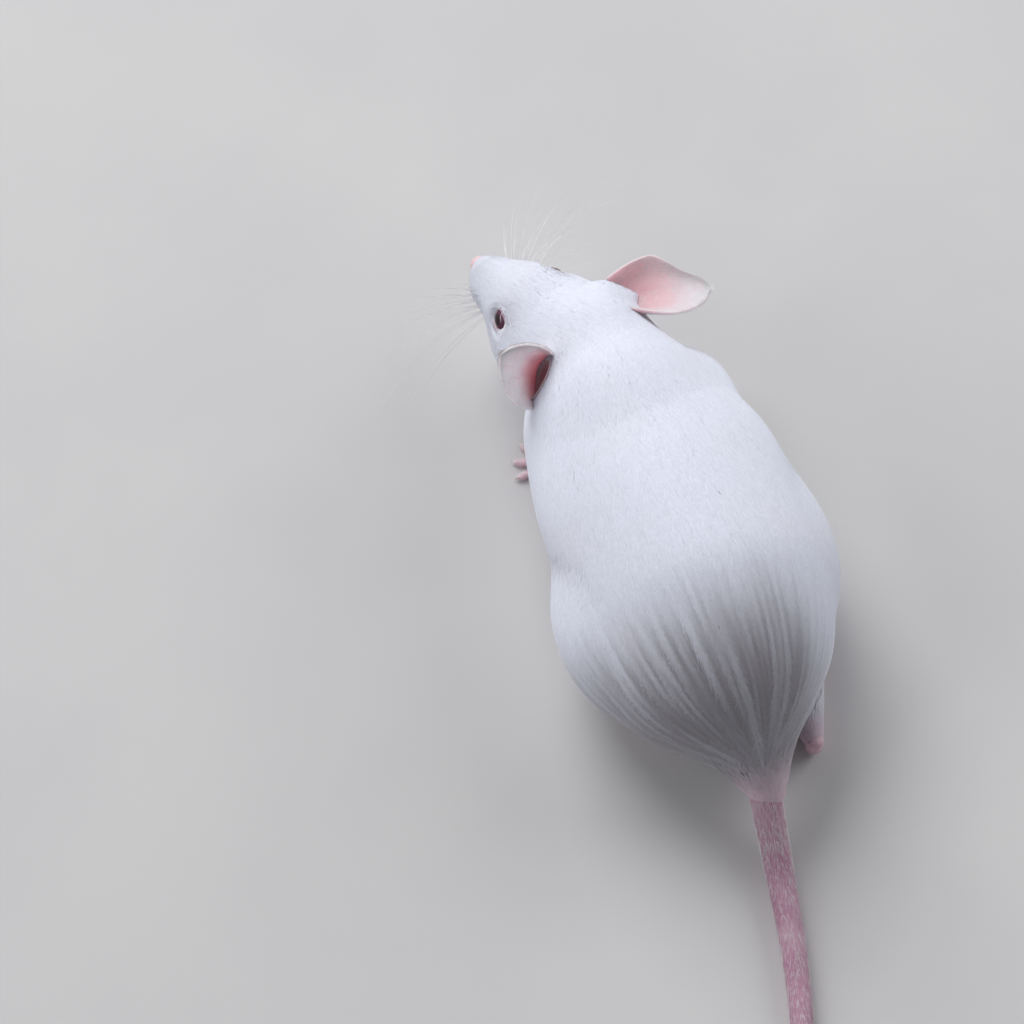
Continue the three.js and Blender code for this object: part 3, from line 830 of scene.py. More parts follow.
# ---- Tail ----------------------------------------------------------------------------------------
def tail_line(count):
    """Centre line and radii, as the solids have them."""
    pace = TAIL["length"] / count
    place = at(0.2, 1.2, 0)
    line, radii = [], []
    for i in range(count + 1):
        t = i / count
        radius = mix(TAIL["root_radius"], TAIL["tip_radius"], t**0.8)
        drop = smoothstep(0, 1, np.array(t * TAIL["length"] / TAIL["drops_over"]))
        line.append(lifted(place, mix(TAIL["root_height"], radius * 0.93, float(drop))))
        radii.append(radius)
        turn = math.radians(TAIL["heading"] + TAIL["curve"] * float(smoothstep(0, 1, np.array(t))))
        place = place + pace * np.array([math.sin(turn), math.cos(turn), 0])
    return np.array(line), np.array(radii)


def make_tail(rings=186, rows=4, sides=22):
    """A tapering tube with the fine rings of scales that a mouse's tail has."""
    line, radii = tail_line(rings * rows)
    phase = (np.arange(len(line)) % rows) / rows
    ridge = 0.022 * (1 - np.abs(2 * phase - 1) ** 2)
    points, faces = tube(line, radii * 0.985 - 0.02 + ridge, sides)
    points[:, 2] = np.maximum(points[:, 2], FLOOR_AIR)
    return points, faces


# ---- Skin: one object for all the flesh ----------------------------------------------------------
def skin_axes():
    y = np.concatenate([np.arange(-42, -10, SKIN_STEP), np.arange(-10, 46, TRUNK_STEP)])
    return [np.arange(-21, 22, SKIN_STEP * 1.25), y, np.arange(-0.6, 31, SKIN_STEP * 1.25)]


def ear_depth(p):
    """How far down an ear's hollow each point lies, from 0 to 1: there the skin is painted darker red,
    partly its own redness and partly painted shade.
    """
    inside = np.zeros(len(p))
    for bowl in BOWLS:
        inside = np.maximum(inside, smoothstep(1.0, 0.25, bowl(p)))
    return inside * smoothstep(-1.2, 1.3, -in_chunks(flesh, p))


def on_rump(p):
    """How far the hair is parted over the rump, and how strongly its coat is painted with shade, less on
    its right side, from 0 to 1.
    """
    return smoothstep(11, 34, p[:, 1]) * mix(0.3, 1, smoothstep(-14, -4, p[:, 0]))


def lock_share(p):
    """How far down between two locks of the coat each place lies, from 0 to 1."""
    wide, fine = streaks(p, wave_turns, wave_along), streaks(p, fine_turns, fine_along * 0.4)
    return 0.5 + 0.5 * np.clip(wide * 0.45 + fine * 0.45, -1, 1)


# Painted shade: the rump's coat greyed, most between the locks, for the shade on its rear slopes and in
# its partings.
def rump_shade_mark(p):
    return mix(0.6, 1, lock_share(p)) * on_rump(p)


def thin_share(p):
    """How far the skin shows through the hair on the wrists, heels and tail root, from 0 to 1."""
    return 1 - smoothstep(1.5, 7.5, nearest_of(p, WRISTS + HEELS + [TAIL_START]))


def lie_marks(p):
    """The marks that skin and coat share: places round and along the body, and thin hair."""
    angle, back = round_places(p)
    return {"hair_round": angle * TRUNK_RADIUS, "hair_back": back, "thin": thin_share(p)}


def bare_share(p):
    """1 on the rims of the eyelids and in the mouth's line, fading outward."""
    lines = []
    for side in SIDES:
        out, ahead, _ = eye_frame(side)
        lids = lid_line(side, EYE["radius"] + 0.1, 40)
        corner = dense(np.array([lids[0], lids[0] + ahead * 1.5 - out * 0.45]), 0.2)
        lines += [lids, corner, dense(mouth_line(side), 0.2)]
    return 1 - smoothstep(0.2, 0.5, nearest_of(p, np.concatenate(lines)))


def blush_and_shade(p):
    """1 where an ear's skin is painted reddest, low in its bowl, fading towards its tip: partly its own
    redness, partly painted shade.
    """
    redness = np.zeros(len(p))
    for spec in EARS.values():
        along, out, _ = spec["hollow"]
        share, reach = spec["blush_and_shade"]
        far = norm(p - ear_place(spec, along - 1, out, 0))
        redness = np.maximum(redness, share * (1 - smoothstep(1.2, reach, far)))
    return redness


BODY_SKIN, EAR_SKIN, FOOT_SKIN, TAIL_SKIN = range(4)  # the skin's materials, in the order main gives them


def make_skin():
    """The skin with its ears, feet and tail, and the net of the body alone."""
    body = surface_net(skin_field, skin_axes())
    parts = [(body, BODY_SKIN)]
    parts += [(ring_tube(lid_line(side, EYE["radius"] + 0.1), 0.19), BODY_SKIN) for side in SIDES]
    parts += [(make_ear(spec), EAR_SKIN) for spec in EARS.values()]
    parts.append((make_collar(EARS["left"]), EAR_SKIN))
    parts += [(make_foot(name), FOOT_SKIN) for name in FEET]
    parts.append((make_tail(), TAIL_SKIN))
    whole, faces = put_together([p for p, _ in parts])
    material_of = np.concatenate([np.full(len(f), m) for (_, f), m in parts])
    marks = {
        # darker red down the ears' hollows: partly the skin's redness, partly painted shade
        "hollow_red_and_shade": ear_depth(whole),
        "pink": bare_share(whole),
        # redder low in the ears' bowls: partly the skin's redness, partly painted shade
        "blush_and_shade": blush_and_shade(whole),
        # painted shade over the rump
        "rump_shade": rump_shade_mark(whole),
        **lie_marks(whole),
    }
    return make_mesh("skin", whole, faces, material_of=material_of, attributes=marks), body


# ---- The lie of the coat -------------------------------------------------------------------------
WAVES = 14
wave_turns = rng.integers(12, 44, WAVES)
wave_along = rng.uniform(-0.3, 0.3, WAVES)
wave_phase = rng.uniform(0, 2 * math.pi, WAVES)
fine_turns = rng.integers(50, 110, WAVES)
fine_along = rng.uniform(-0.9, 0.9, WAVES)


def round_places(p):
    """Angle round the body's long axis and length along it: round the head's own axis on the head."""
    back, side, up = head_places(p)
    on_trunk = smoothstep(16, 32, back)
    trunk_angle = np.arctan2(p[:, 0] - 0.3, p[:, 2] - 11)
    head_angle = np.arctan2(side, up)
    turned = np.angle(np.exp(1j * (trunk_angle - head_angle)))
    return head_angle + on_trunk * turned, back


def streaks(p, turns, along):
    """Smooth noise drawn out along the body, from about -1 to 1."""
    angle, back = round_places(p)
    waves = sum(np.sin(m * angle + k * back + c) for m, k, c in zip(turns, along, wave_phase))
    return waves / math.sqrt(WAVES)


def pull(p, side, reach, turns, along):
    """How the streaks rise to one side of each place: the hairs lean that way, and gather in locks."""
    return streaks(p + side * reach, turns, along) - streaks(p - side * reach, turns, along)


def lie(p, n):
    """Unit directions in which the hair lies: from nose to tail, and down the flanks and legs."""
    back, _, _ = head_places(p)
    on_head_share = 1 - smoothstep(17, 27, back)
    way = np.zeros_like(p)
    way[:, 1] = 1
    way[:, 2] = -0.18 - 0.5 * np.abs(n[:, 0]) ** 1.5
    face_way = np.broadcast_to(-HEAD_FRAME[0], p.shape) + 0.12 * np.array([0, 0, 1])
    way = mix(way, face_way, on_head_share[:, None])
    for wrist in WRISTS:
        near = 1 - smoothstep(3, 8, norm(p - wrist))
        way = mix(way, np.broadcast_to([0, -0.35, -1.0], p.shape), near[:, None])
    way = way - n * np.einsum("ij,ij->i", way, n)[:, None]
    return unit(way)


def corners_of(points, faces):
    return [points[faces[:, n]] for n in range(3)]


def on_triangles(points, faces, u, v):
    """A place on each triangle, at shares u and v of the way from its first corner to the others."""
    a, b, c = corners_of(points, faces)
    return a + (b - a) * u[:, None] + (c - a) * v[:, None]


def scattered(points, faces, spacing_of, dense_count):
    """Evenly scattered places on a mesh: random ones, thinned to one in each small box of space."""
    a, b, c = corners_of(points, faces)
    area = norm(np.cross(b - a, c - a)) / 2
    pick = rng.choice(len(faces), dense_count, p=area / area.sum())
    u, v = rng.random(dense_count), rng.random(dense_count)
    over = u + v > 1
    u[over], v[over] = 1 - u[over], 1 - v[over]
    places = on_triangles(points, faces[pick], u, v)
    spacing = spacing_of(places)
    keep = np.zeros(len(places), bool)
    for size in np.unique(spacing):  # a box of this size keeps the first place in it
        some = np.flatnonzero(spacing == size)
        cell = np.floor(places[some] / size).astype(np.int64)
        key = (cell[:, 0] * 4096 + cell[:, 1]) * 4096 + cell[:, 2]
        _, first = np.unique(key, return_index=True)
        keep[some[first]] = True
    return places[keep]


TUFT_POINTS = 7  # three round its root, three round its middle and one at its tip
TUFT_FACES = [(0, 2, 1)]
for a, b in ((0, 1), (1, 2), (2, 0)):
    TUFT_FACES += [(a, b, b + 3), (a, b + 3, a + 3), (a + 3, b + 3, 6)]
# Each tuft's own small patch round its root's place on the unwrap.
UV_PATCH = 0.003 * np.array([(x, y) for y in (-0.5, 0.3) for x in (-0.5, 0.5, 0.0)] + [(0.0, 0.5)])


def tuft_mesh(stations, sides, ups, widths, profile, thickness):
    """Closed spikes: three corners round each root and middle, and a point at the tip."""
    count = len(stations)
    half = widths[:, None, None, None] * np.asarray(profile)[None, :, None, None] / 2
    across = np.array([-1, 1, 0])[:, None] * sides[:, None, None]
    over = np.array([0, 0, 2 * thickness])[:, None] * ups[:, None, None]
    corners = stations[:, :-1, None] + half * (across + over)
    points = np.concatenate([corners.reshape(count, -1, 3), stations[:, -1:]], 1)
    faces = np.array(TUFT_FACES) + np.arange(count)[:, None, None] * TUFT_POINTS
    return points.reshape(-1, 3), faces.reshape(-1, 3)


def inset(share):
    """A share of the unwrap's side, kept off its edge."""
    return 0.01 + 0.98 * share


def trunk_unwrap(p):
    """Places on the unwrap: round the body across it, and from nose to tail root up it."""
    angle, back = round_places(p)
    turn = np.mod(angle + math.pi, 2 * math.pi) / (2 * math.pi)
    return np.stack([inset(turn), inset(np.clip((back + 2) / 90, 0, 1))], 1)


def near_ears(p):
    """Distance to the lower half of the nearer ear."""
    t, across = np.meshgrid(np.linspace(0, 0.5, 7), np.linspace(-1, 1, 9), indexing="ij")
    places = [ear_sheet(spec, t, across)[0].reshape(-1, 3) for spec in EARS.values()]
    return nearest_of(p, np.concatenate(places))


def tuft_lengths(roots, back):
    """Long on the trunk, short on the face and round the wrists, heels, eyes and ears."""
    length = np.interp(back, TUFTS["length_at"], TUFTS["length"])
    length = length * lessened(roots, WRISTS, 0.3, 2, 8) * lessened(roots, EYES.values(), 0.25, 2, 4.2)
    length = length * lessened(roots, HEELS, 0.35, 2, 8)
    return length * mix(0.25, 1, smoothstep(0.3, 3.5, near_ears(roots)))


def coat_tufts(name, roots, normals):
    """Tufts over the trunk and head, each following the curve of the coat's outside."""
    back, _, _ = head_places(roots)
    count = len(roots)
    depth = coat_depth(roots)
    way = lie(roots, normals)
    side = np.cross(normals, way)
    gather = np.clip(pull(roots, side, 0.35, wave_turns, wave_along) * 0.14, -0.2, 0.2)
    gather_fine = np.clip(pull(roots, side, 0.1, fine_turns, fine_along) * 0.06, -0.12, 0.12)
    length = tuft_lengths(roots, back) * rng.uniform(0.75, 1.15, count)
    width = np.interp(back, TUFTS["width_at"], TUFTS["width"]) * rng.uniform(0.7, 1.25, count)
    bend = rng.normal(0, 0.05, count) + gather + gather_fine

    flat = unit(way + side * (bend * 0.4)[:, None])
    curl = unit(way + side * bend[:, None])
    under = rng.uniform(0.0, 0.03, count) + lock_share(roots) * mix(0.01, 0.12, on_rump(roots))
    under = np.minimum(under, depth * 0.7)
    stations = [roots - normals * 0.1]
    for step, level in ((TUFTS["middle"], under), (1.0, under + 0.09 * depth)):
        p = roots + mix(flat, curl, step) * (length * step)[:, None]
        stations.append(settle(coat_top, p, -level))
    stations = np.stack(stations, 1)
    stations[:, 1:, 2] = np.maximum(stations[:, 1:, 2], HAIR_FLOOR["tuft"])
    run = unit(stations[:, -2] - stations[:, 0])
    across = unit(np.cross(normals, run))
    ways = across, np.cross(run, across)
    # the rump's painted shade goes with each tuft
    uv, rump_shade = trunk_unwrap(roots), rump_shade_mark(roots)
    return tuft_piece(name, normals, stations, ways, width, uv, rump_shade, COAT_TUFT)


def tuft_spacing(p):
    """Closer on the face than on the trunk, and wide apart under the belly."""
    back, _, _ = head_places(p)
    size = np.array(TUFTS["spacing"])[np.digitize(back, TUFTS["spacing_from"])]
    return np.where(p[:, 2] < 1.6, 0.5, size)


def clear_of_features(p):
    """True away from eyes, nose, lips, the ears' hollows and the floor."""
    clear = p[:, 2] > 0.3
    for bowl in BOWLS:
        clear &= bowl(p) > 0.45
    for side, eye in EYES.items():
        clear &= norm(p - eye) > EYE["radius"] + 0.36
        clear &= nearest_of(p, dense(mouth_line(side), 0.3)) > 0.3
    nose = on_head(NOSE["back"], 0, NOSE["up"])
    return clear & (norm((p - nose) @ HEAD_FRAME.T / (np.array(NOSE["radii"]) + 0.1)) > 1)


def corner_normals(points, faces, skin, share=0.78):
    """Each corner's normal, leant towards the skin's so that the coat shades as one soft surface.

    Faces that look down keep their own.
    """
    a, b, c = corners_of(points, faces)
    face = np.cross(b - a, c - a)
    own = np.zeros_like(points)
    for n in range(3):
        for axis in range(3):
            own[:, axis] += np.bincount(faces[:, n], weights=face[:, axis], minlength=len(points))
    corners = unit(unit(own) * (1 - share) + skin * share)[faces]
    down = np.einsum("ij,ij->i", face, skin[faces[:, 0]]) < 0
    corners[down] = unit(face[down])[:, None]
    return corners.reshape(-1, 3)


def tuft_piece(name, normals, stations, ways, widths, root_uv, rump_shade, shape):
    """One object of tufts, from their stations, ways across and up, widths and marks."""
    points, faces = tuft_mesh(stations, *ways, widths, shape["profile"], shape["thickness"])
    marks = {
        "shade": np.repeat(rng.random(len(normals)), TUFT_POINTS),
        "along": np.tile(np.repeat(shape["along"], (3, 3, 1)), len(normals)),
        # painted shade over the rump
        "rump_shade": np.repeat(rump_shade, TUFT_POINTS),
        **lie_marks(points),
    }
    corners = corner_normals(points, faces, np.repeat(normals, TUFT_POINTS, axis=0))
    uv = (root_uv[:, None] + UV_PATCH).reshape(-1, 2)
    piece = make_mesh(name, points, faces, normals=corners, uv=uv, attributes=marks)
    return piece


def make_coat(body):
    """The coat over head and trunk, in pieces from front to back."""
    roots = scattered(*body, tuft_spacing, TUFTS["scattered"])
    roots = roots[clear_of_features(roots)]
    normals = unit(slope(coat_top, roots)[1])
    order = np.argsort(head_places(roots)[0], kind="stable")
    roots, normals = roots[order], normals[order]
    pieces = []
    for part in np.array_split(np.arange(len(roots)), math.ceil(len(roots) / TUFTS["per_piece"])):
        pieces.append(coat_tufts(f"coat_{len(pieces) + 1}", roots[part], normals[part]))
    return pieces


# ---- Eyes, nose, whiskers ------------------------------------------------------------------------
def ball_grid(rows, columns):
    """Directions on a sphere about +X, with faces."""
    down = np.linspace(0, math.pi, rows + 1)[1:-1]
    turn = np.arange(columns) * 2 * math.pi / columns
    d, r = np.meshgrid(down, turn, indexing="ij")
    ring = np.stack([np.cos(d), np.sin(d) * np.cos(r), np.sin(d) * np.sin(r)], -1).reshape(-1, 3)
    return np.concatenate([ring, [[1, 0, 0], [-1, 0, 0]]]), capped_faces(rows - 1, columns)


def make_eye(side):
    """A round, bead-like eyeball."""
    directions, faces = ball_grid(40, 56)
    points = directions * EYE["radius"] @ np.array(eye_frame(side)) + EYES[side]
    if side == "right":
        faces = faces[:, ::-1]
    piece = make_mesh(f"eyeball_{side}", points, faces, attributes={"facing": directions[:, 0]})
    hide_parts(f"eye_{side}")
    return piece


def make_nose():
    """The bare nose pad with its two comma nostrils."""
    directions, faces = ball_grid(48, 64)
    forward, left, up = directions.T
    depth = np.zeros(len(directions))
    for s in (1, -1):
        hole = bell(left * s - 0.56, 0.2) * bell(up + 0.12, 0.3)
        tail_of_hole = bell(left * s - 0.82, 0.2) * bell(up + 0.1 - 0.5 * (left * s - 0.6), 0.16)
        depth += 0.34 * hole * (forward > -0.2) + 0.18 * tail_of_hole * (forward > -0.3)
    groove = 0.1 * bell(left, 0.1) * smoothstep(0.2, -0.5, up)
    size = np.array(NOSE["radii"])
    points = directions * size * (1 - depth - groove)[:, None]
    points = points @ HEAD_FRAME + on_head(NOSE["back"], 0, NOSE["up"])
    # The hollow mark carries painted shade into the nostrils.
    piece = make_mesh("nose_pad", points, faces, attributes={"hollow": np.clip(depth * 3, 0, 1)})
    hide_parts("nose")
    return piece


def hair_line(root, way, droop, length, count=9):
    t = np.linspace(0, 1, count)[:, None]
    return root + way * length * t + droop * length * t**2


def make_whiskers():
    """Five rows on each side of the muzzle, longest at the back, and a few over the eyes."""
    parts = []
    for side, s in SIDES.items():
        for row in range(5):
            for column in range(5):
                back = 2.3 + column * 1.05 + 0.25 * (row % 2)
                up = 1.1 - row * 0.72
                start = settle(skin_field, on_head(back, s * 4.0, up)[None], turns=4)[0]
                length = (7 + 3.6 * column - 0.9 * abs(row - 1.5)) * rng.uniform(0.85, 1.1)
                way = np.array([1.25 - 0.24 * column, s, 0.5 - 0.24 * row]) + rng.normal(0, 0.06, 3)
                droop = np.array([-0.12 - 0.04 * column, 0, -0.1]) @ HEAD_FRAME
                line = hair_line(start, unit(way) @ HEAD_FRAME, droop, length, 11)
                line[:, 2] = np.maximum(line[:, 2], HAIR_FLOOR["whisker"])
                taper = np.linspace(1, 0.12, len(line))
                parts.append(tube(line, WHISKER_RADIUS * taper, 5))
        for n in range(3):
            start = EYES[side] + np.array([1.2 - n, s * 0.2, 2.0]) @ HEAD_FRAME
            start = settle(skin_field, start[None], turns=4)[0]
            way = unit(np.array([0.1 - 0.3 * n, s * 0.7, 1])) @ HEAD_FRAME
            line = hair_line(start, way, np.array([-0.3, 0, -0.1]) @ HEAD_FRAME, 7 - n)
            parts.append(tube(line, BROW_RADIUS * np.linspace(1, 0.15, len(line)), 5))
    points, faces = put_together(parts)
    piece = make_mesh("whiskers", points, faces)
    return piece


# ---- Fine hair on ears, feet and tail ------------------------------------------------------------
def short_hairs(name, roots, normals, ways, length, width, lean, uv):
    """Thin straight spikes that lean along the skin."""
    size = len(roots)
    length = length * rng.uniform(0.7, 1.2, size)
    side = unit(np.cross(normals, ways))
    ways = unit(ways + side * rng.normal(0, 0.16, size)[:, None])
    middle = roots + ways * (length * 0.5)[:, None] + normals * (length * 0.5)[:, None] * lean
    tip = roots + ways * length[:, None] + normals * (length * 0.75)[:, None] * lean
    stations = np.stack([roots - normals * 0.03, middle, tip], 1)
    stations[:, 1:, 2] = np.maximum(stations[:, 1:, 2], HAIR_FLOOR["short"])
    width = width * rng.uniform(0.75, 1.2, size)
    return tuft_piece(name, normals, stations, (side, normals), width, uv, np.zeros(size), SHORT_HAIR)


def ear_down(side, count=5200):
    """Sparse down on both faces of an ear, thicker towards its base behind."""
    spec = EARS[side]
    t = rng.random(count) ** 0.9
    across = rng.uniform(-0.98, 0.98, count)
    face, out = ear_sheet(spec, t, across)
    above, _ = ear_sheet(spec, np.minimum(t + 0.02, 1.02), across)
    ways = unit(above - face)
    rear = np.arange(count) % 2 == 0
    keep = rear | (np.abs(across) > 0.55) | (t > 0.6) | (rng.random(count) < 0.35)
    normals = np.where(rear[:, None], out, -out)
    lift = np.where(rear, EAR["thickness"] * 0.9, 0.02)
    roots = face + out * lift[:, None]
    uv = np.stack([0.02 + 0.46 * (across + 1) / 2 + 0.5 * rear, 0.02 + 0.96 * t], 1)
    roots, normals, ways, uv = roots[keep], normals[keep], ways[keep], uv[keep]
    return short_hairs(f"down_ear_{side}", roots, normals, ways, 0.8, 0.03, 0.3, uv)


def foot_hair(name, count=1500):
    """Short hair over the top of a foot and its toes."""
    points, faces = make_foot(name, step=0.3)
    a, b, c = corners_of(points, faces)
    normal = np.cross(b - a, c - a)
    area = norm(normal)
    upward = np.clip(unit(normal)[:, 2] + 0.25, 0, 1)
    pick = rng.choice(len(faces), count, p=area * upward / (area * upward).sum())
    u = rng.random(count)
    v = rng.random(count) * (1 - u)
    roots = on_triangles(points, faces[pick], u, v)
    normals = unit(normal[pick])
    _, back_end, ahead, _ = foot_axes(name)
    way = np.broadcast_to(ahead, roots.shape)
    way = unit(way - normals * np.einsum("ij,ij->i", way, normals)[:, None])
    local = roots[:, :2] - back_end[:2]
    uv = np.clip(0.5 + local / 44, 0.01, 0.99)
    return short_hairs(f"hair_{name}", roots, normals, way, 0.62, 0.045, 0.25, uv)


def tail_hair(count=3600):
    """Short stiff hairs that lie back along the tail between its rings of scales."""
    line, radii = tail_line(380)
    by_root = 0.055 + 0.1 * rng.random(count) ** 1.4
    share_along = np.where(np.arange(count) % 8 == 0, by_root, rng.uniform(0.05, 0.995, count))
    where = share_along * (len(line) - 1)
    at_root = 1 - smoothstep(0.07, 0.15, share_along)
    low = where.astype(int)
    high = np.minimum(low + 1, len(line) - 1)
    share = (where - low)[:, None]
    centre = mix(line[low], line[high], share)
    run = unit(line[np.minimum(low + 2, len(line) - 1)] - line[np.maximum(low - 2, 0)])
    side = unit(np.cross(run, [0, 0, 1.0]))
    up = np.cross(side, run)
    angle = rng.uniform(-0.25 * math.pi, 1.25 * math.pi, count)
    normals = np.cos(angle)[:, None] * side + np.sin(angle)[:, None] * up
    roots = centre + normals * (radii[low] * 0.97)[:, None]
    roots[:, 2] = np.maximum(roots[:, 2], HAIR_FLOOR["tail"])
    uv = np.stack([inset(np.mod(angle / (2 * math.pi), 1)), inset(where / len(line))], 1)
    length, width = mix(1.1, 1.5, at_root), mix(0.034, 0.06, at_root)
    lean = mix(0.2, 0.05, at_root)[:, None]
    return short_hairs("hair_tail", roots, normals, run, length, width, lean, uv)


# ---- Materials -----------------------------------------------------------------------------------
def add_node(tree, kind, values=(), **settings):
    """A node with its settings, and with plain values on the inputs named in values."""
    node = tree.nodes.new(kind)
    for key, value in settings.items():
        setattr(node, key, value)
    for key, value in dict(values).items():
        node.inputs[key].default_value = value
    return node


class Nodes:
    """A small helper to write node materials shortly."""

    def __init__(self, name):
        self.material = bpy.data.materials.new(name)
        self.material.use_nodes = True
        self.tree = self.material.node_tree
        self.shader = self.tree.nodes["Principled BSDF"]
        self.coordinates = self.add("ShaderNodeTexCoord").outputs["Object"]

    def add(self, kind, values=(), **settings):
        return add_node(self.tree, kind, values, **settings)

    def join(self, source, target):
        if isinstance(source, (int, float)):
            target.default_value = source
        elif isinstance(source, tuple):
            target.default_value = (*source, 1)
        else:
            self.tree.links.new(source, target)

    def attribute(self, name):
        return self.add("ShaderNodeAttribute", attribute_name=name).outputs["Fac"]

    def scaled(self, per_mm):
        mapping = self.add("ShaderNodeMapping", {"Scale": [per_mm / MM] * 3})
        self.join(self.coordinates, mapping.inputs["Vector"])
        return mapping.outputs["Vector"]

    def noise(self, per_mm, detail=3.0):
        noise = self.add("ShaderNodeTexNoise", {"Scale": 1, "Detail": detail, "Roughness": 0.55})
        self.join(self.scaled(per_mm), noise.inputs["Vector"])
        return noise.outputs["Fac"]

    def hair_streaks(self):
        """Noise drawn out along the lie of the coat, about a hair wide."""
        combine = self.add("ShaderNodeCombineXYZ")
        marks = ("X", "hair_round", 9.5), ("Y", "hair_back", 0.7), ("Z", "shade", 9.0)
        for axis, mark, stretch in marks:
            self.join(self.times(self.attribute(mark), stretch), combine.inputs[axis])
        noise = self.add("ShaderNodeTexNoise", {"Scale": 1, "Detail": 2})
        self.join(combine.outputs["Vector"], noise.inputs["Vector"])
        return noise.outputs["Fac"]

    def grey(self, value):
        node = self.add("ShaderNodeCombineColor")
        for socket in node.inputs:
            self.join(value, socket)
        return node.outputs[0]

    def cells(self, per_mm, feature="F1"):
        voronoi = self.add("ShaderNodeTexVoronoi", {"Scale": 1}, feature=feature)
        self.join(self.scaled(per_mm), voronoi.inputs["Vector"])
        return voronoi.outputs["Distance"]

    def math(self, operation, a, b):
        node = self.add("ShaderNodeMath", operation=operation)
        self.join(a, node.inputs[0])
        self.join(b, node.inputs[1])
        return node.outputs[0]

    def plus(self, a, b):
        return self.math("ADD", a, b)

    def times(self, a, b):
        return self.math("MULTIPLY", a, b)

    def ramp(self, source, low, high, to_low=0.0, to_high=1.0):
        values = {"From Min": low, "From Max": high, "To Min": to_low, "To Max": to_high}
        node = self.add("ShaderNodeMapRange", values, interpolation_type="SMOOTHSTEP")
        self.join(source, node.inputs["Value"])
        return node.outputs["Result"]

    def uneven(self, per_mm, low, high):
        """A value that wanders between two others, for a surface's roughness."""
        return self.ramp(self.noise(per_mm), 0.3, 0.7, low, high)

    def blend(self, share, a, b, kind="MIX"):
        node = self.add("ShaderNodeMix", data_type="RGBA", blend_type=kind)
        for source, socket in ((share, 0), (a, 6), (b, 7)):
            self.join(source, node.inputs[socket])
        return node.outputs[2]

    def mottled(self, per_mm, detail, a, b):
        """Soft patches of two colours."""
        return self.blend(self.ramp(self.noise(per_mm, detail), 0.3, 0.7), a, b)

    def coat_marks(self, color):
        """Painted shade, grey over the rump and greyest between its locks, and pink where the skin shows
        through.
        """
        # painted shade greys the rump, most between the locks
        color = self.blend(self.ramp(self.attribute("rump_shade"), 0.05, 0.93, 0.0, 0.87), color, RUMP_SHADE_GREY)
        return self.blend(self.times(self.attribute("thin"), 0.85), color, THIN_PINK)

    def bump(self, height, distance_mm, strength):
        node = self.add("ShaderNodeBump", {"Strength": strength, "Distance": distance_mm * MM})
        self.join(height, node.inputs["Height"])
        self.join(node.outputs["Normal"], self.shader.inputs["Normal"])

    def finish(self, color, roughness, **sockets):
        self.join(color, self.shader.inputs["Base Color"])
        self.join(roughness, self.shader.inputs["Roughness"])
        for key, value in sockets.items():
            self.shader.inputs[key.replace("_", " ")].default_value = value
        return self.material


# Painted shade over the rump's coat.
RUMP_SHADE_GREY = (0.2, 0.18, 0.19)
THIN_PINK = (0.75, 0.55, 0.63)
# Darker red down the ears' hollows: partly the skin's own redness, partly painted shade.
HOLLOW_RED_AND_SHADE = (0.58, 0.24, 0.28)
# Each kind of hair: its colour, the colour of its warmer patches, and its colour at the root.
FUR_COLORS = (0.775, 0.795, 0.895), (0.785, 0.775, 0.86), (0.74, 0.74, 0.82)
DOWN_COLORS = (0.84, 0.83, 0.84), (0.83, 0.8, 0.79), (0.78, 0.66, 0.66)


def fur_material(name, tint, warm, root):
    """White hair, warmer in patches, with painted shade greying the rump between the locks, and streaks
    of single hairs.
    """
    m = Nodes(name)
    patches = m.ramp(m.noise(0.09, 2.0), 0.42, 0.68)
    color = m.blend(m.times(patches, 0.45), tint, warm)
    hair = m.hair_streaks()
    each = m.ramp(m.attribute("shade"), 0.0, 1.0, 0.93, 1.0)
    each = m.plus(each, m.ramp(hair, 0.3, 0.7, -0.03, 0.03))
    color = m.coat_marks(m.blend(1.0, color, m.grey(each), "MULTIPLY"))
    color = m.blend(m.ramp(m.attribute("along"), 0.0, 0.5), root, color)
    m.bump(hair, 0.03, 0.4)
    sheen = {"Sheen_Weight": 0.15, "Sheen_Roughness": 0.5}
    return m.finish(color, m.uneven(0.8, 0.6, 0.72), Specular_IOR_Level=0.2, **sheen)


def under_coat_material():
    """The skin under the coat: white underfur, painted shade grey over the rump, pink on the lids, and
    dark red in the ears' hollows, partly the skin's own redness and partly painted shade.
    """
    m = Nodes("Skin_under_coat")
    hair = m.hair_streaks()
    color = m.coat_marks(m.blend(m.ramp(hair, 0.35, 0.7), (0.8, 0.79, 0.82), (0.85, 0.85, 0.88)))
    color = m.blend(m.attribute("pink"), color, (0.48, 0.28, 0.36))
    # darker red down the ears' hollows, partly painted shade
    color = m.blend(m.attribute("hollow_red_and_shade"), color, HOLLOW_RED_AND_SHADE)
    m.bump(hair, 0.05, 0.5)
    return m.finish(color, m.uneven(1.6, 0.6, 0.75), Specular_IOR_Level=0.25)


def flesh_glow(weight, scale):
    """Light spread inside pink skin, by weight and depth in metres."""
    radius = (1.0, 0.65, 0.65)
    return {"Subsurface_Weight": weight, "Subsurface_Scale": scale, "Subsurface_Radius": radius}


